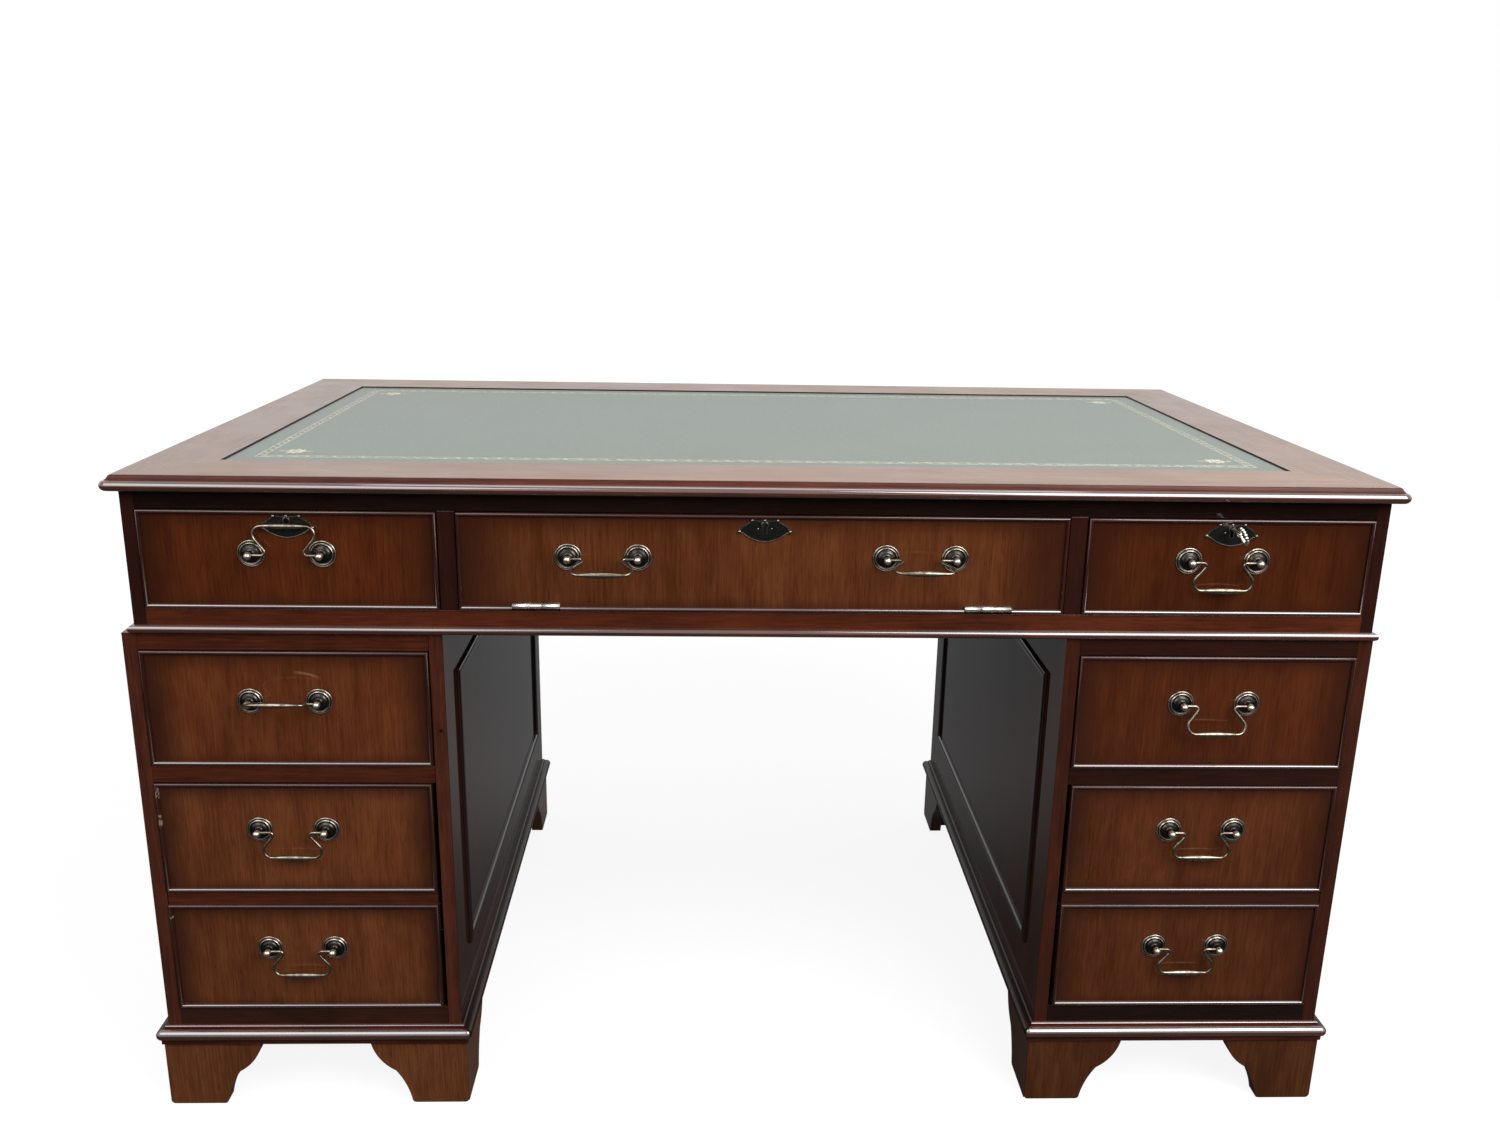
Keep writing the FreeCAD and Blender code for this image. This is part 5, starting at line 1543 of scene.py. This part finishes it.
@dataclass
class DrawerFront:
    """A drawer front: its board or boards, the cock beads round each panel, and what is on it."""

    node: str
    panels: int = 1
    keyhole: bool = False
    veneer: Veneer = Veneer.PLAIN
    tone: float = 1.0
    burst_width: float = 0.050
    rail: Finish = RAIL
    marks: tuple[Mark, ...] = ()
    bead_marks: tuple[Mark, ...] = ()
    thickness: float = 0.018
    bead_width: float = 0.004
    bead_proud: float = 0.003
    bead_seat: float = 0.0008
    false_rail: float = 0.017
    keyhole_below: float = 0.011
    keyhole_play: float = 0.0014
    ease: float = 0.0005

    def build(self) -> None:
        """Makes the board of each panel, the false rail between two, and the beads."""
        low, high = corners(self.node)
        near = low[1] + self.bead_proud
        height = (high[2] - low[2] - self.false_rail * (self.panels - 1)) / self.panels
        body = body_of(self.node)
        beads = Shell()
        for number in range(self.panels):
            bottom = low[2] + number * (height + self.false_rail)
            which = "" if self.panels == 1 else ("_lower", "_upper")[number]
            name = self.node + "_panel" + which
            panel_low = np.array([low[0], near, bottom])
            panel_high = np.array([high[0], near + self.thickness, bottom + height])
            self.panel(name, panel_low, panel_high, body, number == 0)
            self.beads(beads, panel_low, panel_high)
        finishes = [BEAD_ACROSS, BEAD_UPRIGHT_SHADED, BEAD_ABOVE_SHADED]
        if self.bead_marks:
            finishes = [replace(finish, name=f"{self.node}_{finish.name}", marks=self.bead_marks)
                        for finish in finishes]
        beads.piece(self.node + "_cock_beads", body, "mahogany_front", finishes)
        if self.panels > 1:
            bottom = low[2] + height
            far_corner = (high[0], near + self.thickness, bottom + self.false_rail)
            Shell().board((low[0], near, bottom), far_corner, Grain.ACROSS, self.ease).piece(
                self.node + "_false_rail", body, "mahogany_front", [self.rail])

    def panel(self, name: str, low: np.ndarray, high: np.ndarray, body: str, first: bool) -> None:
        """One board with its darkened edge, pierced where it has a keyhole."""
        finish = self.wood(name, low, high)
        shell = Shell()
        if self.keyhole:
            plate = Escutcheon()
            centre = np.array([(low[0] + high[0]) / 2, low[1], high[2] - self.keyhole_below])
            hole = plate.hole(self.keyhole_play)
            edge = self.rectangle(plate, low - centre, high - centre)
            small = self.ease
            rings = [(hole, 0.0), (drawn_in(edge, small), 0.0), (edge, -small),
                     (edge, -self.thickness), (hole, -self.thickness)]
            shell.ring(in_plane(rings, centre, X, Z, -Y))
        else:
            shell.board(low, high, Grain.UPRIGHT, self.ease)
        shell.piece(name, body, "mahogany_front", [finish], [self.node] if first else [])

    def wood(self, name: str, low: np.ndarray, high: np.ndarray) -> Mahogany:
        """The veneer of one board between two corners, in its own tone, with its darkened edge."""
        burst = Burst(centre=((low[0] + high[0]) / 2, (low[2] + high[2]) / 2),
                      half=((high[0] - low[0]) / 2, (high[2] - low[2]) / 2), side_width=self.burst_width)
        light, dark = (tuple(self.tone * part for part in colour) for colour in self.veneer.value)
        return Mahogany(name + "_mahogany", light=light, dark=dark, burst=burst, marks=self.marks)

    def build_from_solids(self) -> None:
        """Makes the same from the frame's own solids, which keep their notches and seats."""
        low, high = corners(self.node)
        solids = solids_of(self.node)
        spans = [np.ptp(solid.reshape(-1, 3), axis=0) for solid in solids]
        board = int(np.argmax([span[0] * span[2] for span in spans]))
        body = body_of(self.node)
        Shell().solid(solids[board]).piece(self.node + "_panel", body, "mahogany_front",
                                           [self.wood(self.node + "_panel", low, high)], [self.node])
        beads = Shell()
        for number, (solid, span) in enumerate(zip(solids, spans)):
            if number != board:
                above = 2 * int(solid[..., 2].min() > (low[2] + high[2]) / 2)
                beads.solid(solid, 1 if span[2] > span[0] else above)
        beads.piece(self.node + "_cock_beads", body, "mahogany_front",
                    [BEAD_ACROSS, BEAD_UPRIGHT_SHADED, BEAD_ABOVE_SHADED])

    def rectangle(self, plate: Escutcheon, low: np.ndarray, high: np.ndarray) -> np.ndarray:
        """A rectangle's outline on the plate's spokes, with the spoke nearest each corner moved to it."""
        edge = np.array([(high[0], high[2]), (high[0], low[2]), (low[0], low[2]), (low[0], high[2])])
        points = plate.spokes_to(spoke_reach(plate.spoke_angles(), edge, (0.0, -plate.centre_drop)))
        for corner in edge:
            points[np.argmin(np.linalg.norm(points - corner, axis=1))] = corner
        return points

    def beads(self, shell: Shell, low: np.ndarray, high: np.ndarray) -> None:
        """Adds four mitred lengths of half-round bead, standing proud round a panel."""
        half = self.bead_width / 2
        straight = self.bead_proud - half
        profile = path_of((0, -self.bead_seat), (0, straight),
                          arc((-half, straight), half, 0, 180, 11)[1:-1],
                          (-self.bead_width, straight), (-self.bead_width, -self.bead_seat))
        ring = mitred_ring(profile, (low[0], low[2]), (high[0], high[2]), Y * low[1], X, Z, -Y)
        # The lower bead keeps the lit colour; the uprights and the bead above take the shaded copies.
        shell.ring(ring, np.array([0, 1, 2, 1]))


@dataclass
class Lock:
    """A lock case with its rivets and its bolt, fixed to the back of a front."""

    width: float = 0.050
    height: float = 0.034
    thickness: float = 0.010
    bolt_width: float = 0.015
    bolt_thickness: float = 0.004
    bolt_length: float = 0.026
    wall: float = 0.002
    rivet: float = 0.0018
    rivets_across: Pair = (0.16, 0.84)
    rivets_up: Pair = (0.2, 0.8)

    def add(self, shell: Shell, x: float, near: float, top: float, bolt: bool) -> None:
        """Adds the case, four rivets on its back, and the bolt where it is fixed."""
        low = np.array([x - self.width / 2, near, top - self.height])
        high = np.array([x + self.width / 2, near + self.thickness, top])
        shell.board(low, high, Grain.ACROSS, 0.0006)
        for across in self.rivets_across:
            for up in self.rivets_up:
                place = low + (high - low) * [across, 1.0, up]
                dome = np.array([(0.0, 0.0), (1.0, 0.0), (0.8, 0.35), (0.0, 0.5)]) * self.rivet
                shell.turned(dome, place, Y, 12)
        if bolt:
            shell.board((x - self.bolt_width / 2, near + self.wall, top - self.bolt_length),
                        (x + self.bolt_width / 2, near + self.wall + self.bolt_thickness, top + 0.0003),
                        Grain.UPRIGHT, 0.0004)


@dataclass
class Brassware:
    """What is screwed to one drawer front: its handles, and its escutcheon and lock if it has them."""

    node: str
    handles: tuple[str, ...]
    front: str | None = None
    lock_depth: float = 0.018
    lock_drop: float = 0.0
    fixed_bolt: bool = True

    def build(self) -> None:
        """Makes the fixed brasses as one piece, the plate as another, and each bail."""
        shell = Shell()
        for name in self.handles:
            Handle(name).roses(shell)
        body = body_of(self.node)
        shell.piece(self.node + "_roses", body, "brass", [BRASS_FIELD, BRASS_RIM, BRASS_BALL],
                    [self.node])
        for name in self.handles:
            Handle(name).bail()
        if self.front:
            low, high = corners(self.front)
            beads = DrawerFront(self.front)
            near = low[1] + beads.bead_proud
            middle = (low[0] + high[0]) / 2
            plate = Shell()
            Escutcheon().add(plate, middle, near, high[2] - beads.keyhole_below)
            plate.piece(self.front + "_escutcheon", body, "brass", [PLATE_FIELD, PLATE_RIM, BRASS],
                        sharp=50.0)
            lock = Shell()
            Lock().add(lock, middle, near + self.lock_depth, high[2] - self.lock_drop, self.fixed_bolt)
            lock.piece(self.front + "_lock", body, "steel", [LOCK_METAL])


@dataclass
class DrawerBox:
    """A drawer box: two sides, a back and a bottom, with rounded upper edges."""

    node: str
    side: float = 0.012
    bottom: float = 0.006
    ease: float = 0.0025
    bottom_ease: float = 0.0004

    def build(self) -> None:
        """Makes the four boards."""
        low, high = corners(self.node)
        shell = Shell().end_boards(low, high, self.side, Grain.DEEP, self.ease)
        shell.board((low[0] + self.side, high[1] - self.side, low[2] + self.bottom),
                    (high[0] - self.side, high[1], high[2]), Grain.ACROSS, self.ease)
        shell.board((low[0] + self.side, low[1], low[2]),
                    (high[0] - self.side, high[1], low[2] + self.bottom), Grain.DEEP, self.bottom_ease,
                    slot=1)
        shell.piece(self.node + "_boards", body_of(self.node), "drawer_lining", [LINING, LINING_ACROSS],
                    [self.node])


@dataclass
class Key:
    """The key in the right-hand lock, its ring bow seen edge on."""

    shank: float = 0.0023
    out: float = 0.022
    bow: float = 0.0082
    wire: float = 0.0017
    rib: float = 0.0004
    ribs: int = 16
    collar: float = 0.0034
    tilt: float = 22.0

    def build(self) -> None:
        """Makes the shank with its collars, the ribbed bow and the bit, turned by the tilt."""
        low, high = corners("key")
        x, y, z = joint_called("key_turn")["pos_m"]
        angle = np.linspace(0, 2 * math.pi, 96, endpoint=False)
        centre = np.array([0.0, -self.out - self.bow, 0.0])
        path = centre + self.bow * (np.cos(angle)[:, None] * Y + np.sin(angle)[:, None] * Z)
        radius = self.wire + self.rib * np.cos(self.ribs * angle)
        shell = Shell()
        bow = tube(path, radius, 14, X, closed=True)
        end = high[1] - y
        c = self.collar
        profile = np.array([
            (0.0, -self.out), (0.0030, -self.out), (c, -self.out + 0.0008), (c * 0.8, -self.out + 0.0018),
            (c, -self.out + 0.0030), (c, -self.out + 0.0042), (self.shank * 1.15, -self.out + 0.0054),
            (self.shank, -self.out + 0.0070), (self.shank, end - 0.0004), (self.shank * 0.8, end),
            (0.0, end)])
        shank = lathe(profile, np.zeros(3), Y, 24)
        bit = eased_board((-0.0015, end - 0.0075, -0.0061), (0.0015, end, -0.0005), Grain.UPRIGHT, 0.0003)
        turn = np.array(Matrix.Rotation(math.radians(-self.tilt), 3, "Y"))
        at = np.array([x, y, z])
        shell.ring(bow @ turn.T + at)
        shell.surface(shank @ turn.T + at, wrap_columns=True, first=End.POLE, last=End.POLE)
        shell.bar(bit @ turn.T + at)
        shell.piece("lock_key", body_of("key"), "key_steel", [KEY_METAL], ["key"], sharp=60.0)


@dataclass
class KeyboardTray:
    """The sliding tray behind the drop front: a board with a low rail on three sides."""

    board: float = 0.012
    wall: float = 0.012
    board_ease: float = 0.0008
    wall_ease: float = 0.0015

    def build(self) -> None:
        """Makes the boards, and the metalwork from the frame's own solids."""
        low, high = corners("keyboard_tray")
        shell = Shell()
        level = low[2] + self.board
        shell.board(low, (high[0], high[1], level), Grain.ACROSS, self.board_ease)
        shell.end_boards((low[0], low[1], level), high, self.wall, Grain.DEEP, self.wall_ease, slot=1)
        shell.board((low[0] + self.wall, high[1] - self.wall, level),
                    (high[0] - self.wall, high[1], high[2]), Grain.ACROSS, self.wall_ease)
        shell.piece("keyboard_tray_boards", body_of("keyboard_tray"), "mahogany_carcass",
                    [BACK, SIDE], ["keyboard_tray"])
        smoothed_copy("tray_metalwork", "tray_hinge_leaves_and_slides", HINGE_METAL)
        smoothed_copy("drop_front_hinges", "drop_front_hinge_leaves", HINGE_METAL)


@dataclass(frozen=True)
class Lamp:
    """A rectangular soft lamp: its place, the point it is aimed at, its two sizes and its watts."""

    name: str
    place: tuple[float, float, float]
    target: tuple[float, float, float]
    width: float
    height: float
    power: float

    def build(self) -> None:
        """Makes the lamp, level across and facing its target."""
        light = bpy.data.lights.new(self.name, "AREA")
        light.shape = "RECTANGLE"
        light.size = self.width
        light.size_y = self.height
        light.energy = self.power
        lamp = bpy.data.objects.new(self.name, light)
        back = np.array(self.place) - np.array(self.target)
        back /= np.linalg.norm(back)
        right = np.cross(Z, back)
        right /= np.linalg.norm(right)
        lamp.matrix_world = placed(right, np.cross(back, right), back, self.place)
        bpy.context.scene.collection.objects.link(lamp)


@dataclass
class Studio:
    """The pale floor, the soft lamps, the white surround and the camera."""

    lens: float = 30.599
    sensor: float = 36.0
    position: tuple[float, float, float] = (-0.05391, -1.66493, 1.03522)
    right: tuple[float, float, float] = (0.99942829, -0.02933452, 0.01681032)
    up: tuple[float, float, float] = (-0.00829878, 0.26914903, 0.96306279)
    back: tuple[float, float, float] = (-0.03277547, -0.96265169, 0.26875171)
    ambient: float = 0.30
    floor_size: float = 30.0
    lamps: tuple[Lamp, ...] = (
        Lamp("left_soft_lamp", (-1.15, -1.50, 1.75), (-0.35, -0.35, 0.30), 1.50, 1.25, 21.0),
        Lamp("right_soft_lamp", (1.15, -1.45, 1.75), (0.40, -0.35, 0.30), 1.50, 1.50, 58.0),
        Lamp("top_soft_lamp", (0.0, 0.3, 3.2), (0.0, 0.0, 0.7), 2.2, 1.6, 26.0))

    def build(self) -> None:
        """Makes all of it."""
        self.floor()
        self.surround()
        for lamp in self.lamps:
            lamp.build()
        self.camera()

    def floor(self) -> None:
        """A flat floor, square and far larger than the view."""
        half = self.floor_size / 2
        mesh = bpy.data.meshes.new("floor")
        mesh.from_pydata([(-half, -half, 0), (half, -half, 0), (half, half, 0), (-half, half, 0)], [],
                         [(0, 1, 2, 3)])
        mesh.materials.append(FLOOR.material())
        floor = bpy.data.objects.new("floor", mesh)
        bpy.context.scene.collection.objects.link(floor)

    def surround(self) -> None:
        """White where it is seen, directly or in a reflection, and a plain level where it lights."""
        world = bpy.data.worlds.new("surround")
        world.use_nodes = True
        bpy.context.scene.world = world
        graph = Graph(world.node_tree)
        path = graph.node("ShaderNodeLightPath")
        seen = Wire(graph, path.outputs["Is Camera Ray"])
        for ray in ("Is Glossy Ray", "Is Transmission Ray"):
            seen = seen.most(Wire(graph, path.outputs[ray]))
        level = self.ambient + (1.0 - self.ambient) * seen
        light = graph.wire("ShaderNodeBackground", inputs={"Color": (1.0, 1.0, 1.0), "Strength": level})
        graph.node("ShaderNodeOutputWorld", inputs={"Surface": light})

    def camera(self) -> None:
        """The camera at the photograph's angle."""
        data = bpy.data.cameras.new("camera")
        data.sensor_fit = "HORIZONTAL"
        data.sensor_width = self.sensor
        data.lens = self.lens
        camera = bpy.data.objects.new("camera", data)
        camera.matrix_world = placed(self.right, self.up, self.back, self.position)
        bpy.context.scene.collection.objects.link(camera)
        bpy.context.scene.camera = camera
        bpy.context.scene.view_settings.view_transform = "Standard"


def placed(right: Sequence[float], up: Sequence[float], back: Sequence[float],
           place: Sequence[float]) -> Matrix:
    """The matrix of something whose three axes and whose place are given."""
    rows = np.eye(4)
    rows[:3, 0], rows[:3, 1], rows[:3, 2], rows[:3, 3] = right, up, back, place
    return Matrix(rows.tolist())


@dataclass
class Desk:
    """The whole desk, with the marks of wear that it carries."""

    sides: tuple[str, str] = ("left", "right")
    lock_depths: dict[str, float] = field(default_factory=lambda: {"left": 0.0082, "right": 0.018})
    drawer_scratch: Mark = Mark(-0.4860, 0.5412, 0.016, 0.0020, fall=0.25, bend=9.0, strength=0.22,
                                ragged=0.3)
    bead_chips: tuple[Mark, ...] = (Mark(-0.6575, 0.4010, 0.006, 0.0085, strength=0.55),
                                    Mark(-0.6575, 0.3680, 0.006, 0.0100, strength=0.55),
                                    Mark(-0.6575, 0.2470, 0.006, 0.0022, strength=0.8))

    def build(self) -> None:
        """Builds the sub-assemblies in order."""
        WritingTop().build()
        TopSection().build()
        for side in self.sides:
            left = side == "left"
            if left:
                Pedestal(side, SIDE, LEFT_STILE, RAIL, LEFT_LOW_RAIL, LEFT_FOOT).build()
            else:
                Pedestal(side, RIGHT_SIDE, RIGHT_STILE, RIGHT_RAIL, DARK_RAIL_AND_SHADE, RIGHT_FOOT).build()
            DrawerFront(side + "_frieze_front", keyhole=True, veneer=Veneer.RED,
                        tone=1.12 if left else 0.76).build()
            DrawerFront(side + "_pedestal_drawer_front", veneer=Veneer.PLAIN if left else Veneer.RED,
                        tone=1.25 if left else 0.96, marks=(self.drawer_scratch,) if left else ()).build()
            DrawerFront(side + "_filing_front", panels=2, veneer=Veneer.WARM if left else Veneer.PLAIN,
                        tone=1.26 if left else 0.92, burst_width=0.042,
                        rail=RAIL if left else RIGHT_FALSE_RAIL,
                        bead_marks=self.bead_chips if left else ()).build()
            Brassware(side + "_frieze_brassware", (side + "_frieze",), side + "_frieze_front",
                      lock_depth=self.lock_depths[side], fixed_bolt=left).build()
            Brassware(side + "_pedestal_drawer_brassware", (side + "_pedestal",)).build()
            Brassware(side + "_filing_brassware", (side + "_filing_upper", side + "_filing_lower")).build()
            for kind in ("_frieze_box", "_pedestal_drawer_box", "_filing_box"):
                DrawerBox(side + kind).build()
            smoothed_copy(side + "_filing_slides", side + "_filing_rails", SLIDE_METAL)
        DrawerFront("drop_front", veneer=Veneer.WARM, tone=0.91, burst_width=0.095).build_from_solids()
        Brassware("drop_front_brassware", ("centre_left", "centre_right"), "drop_front",
                  lock_depth=0.0082, lock_drop=0.0016).build()
        KeyboardTray().build()
        Key().build()
        dress("lock_bolt", SLIDE_METAL)


def main() -> None:
    """Builds the desk and the studio."""
    logging.basicConfig(level=logging.INFO, format="%(message)s")
    Studio().build()
    Desk().build()


if __name__ == "__main__":
    main()
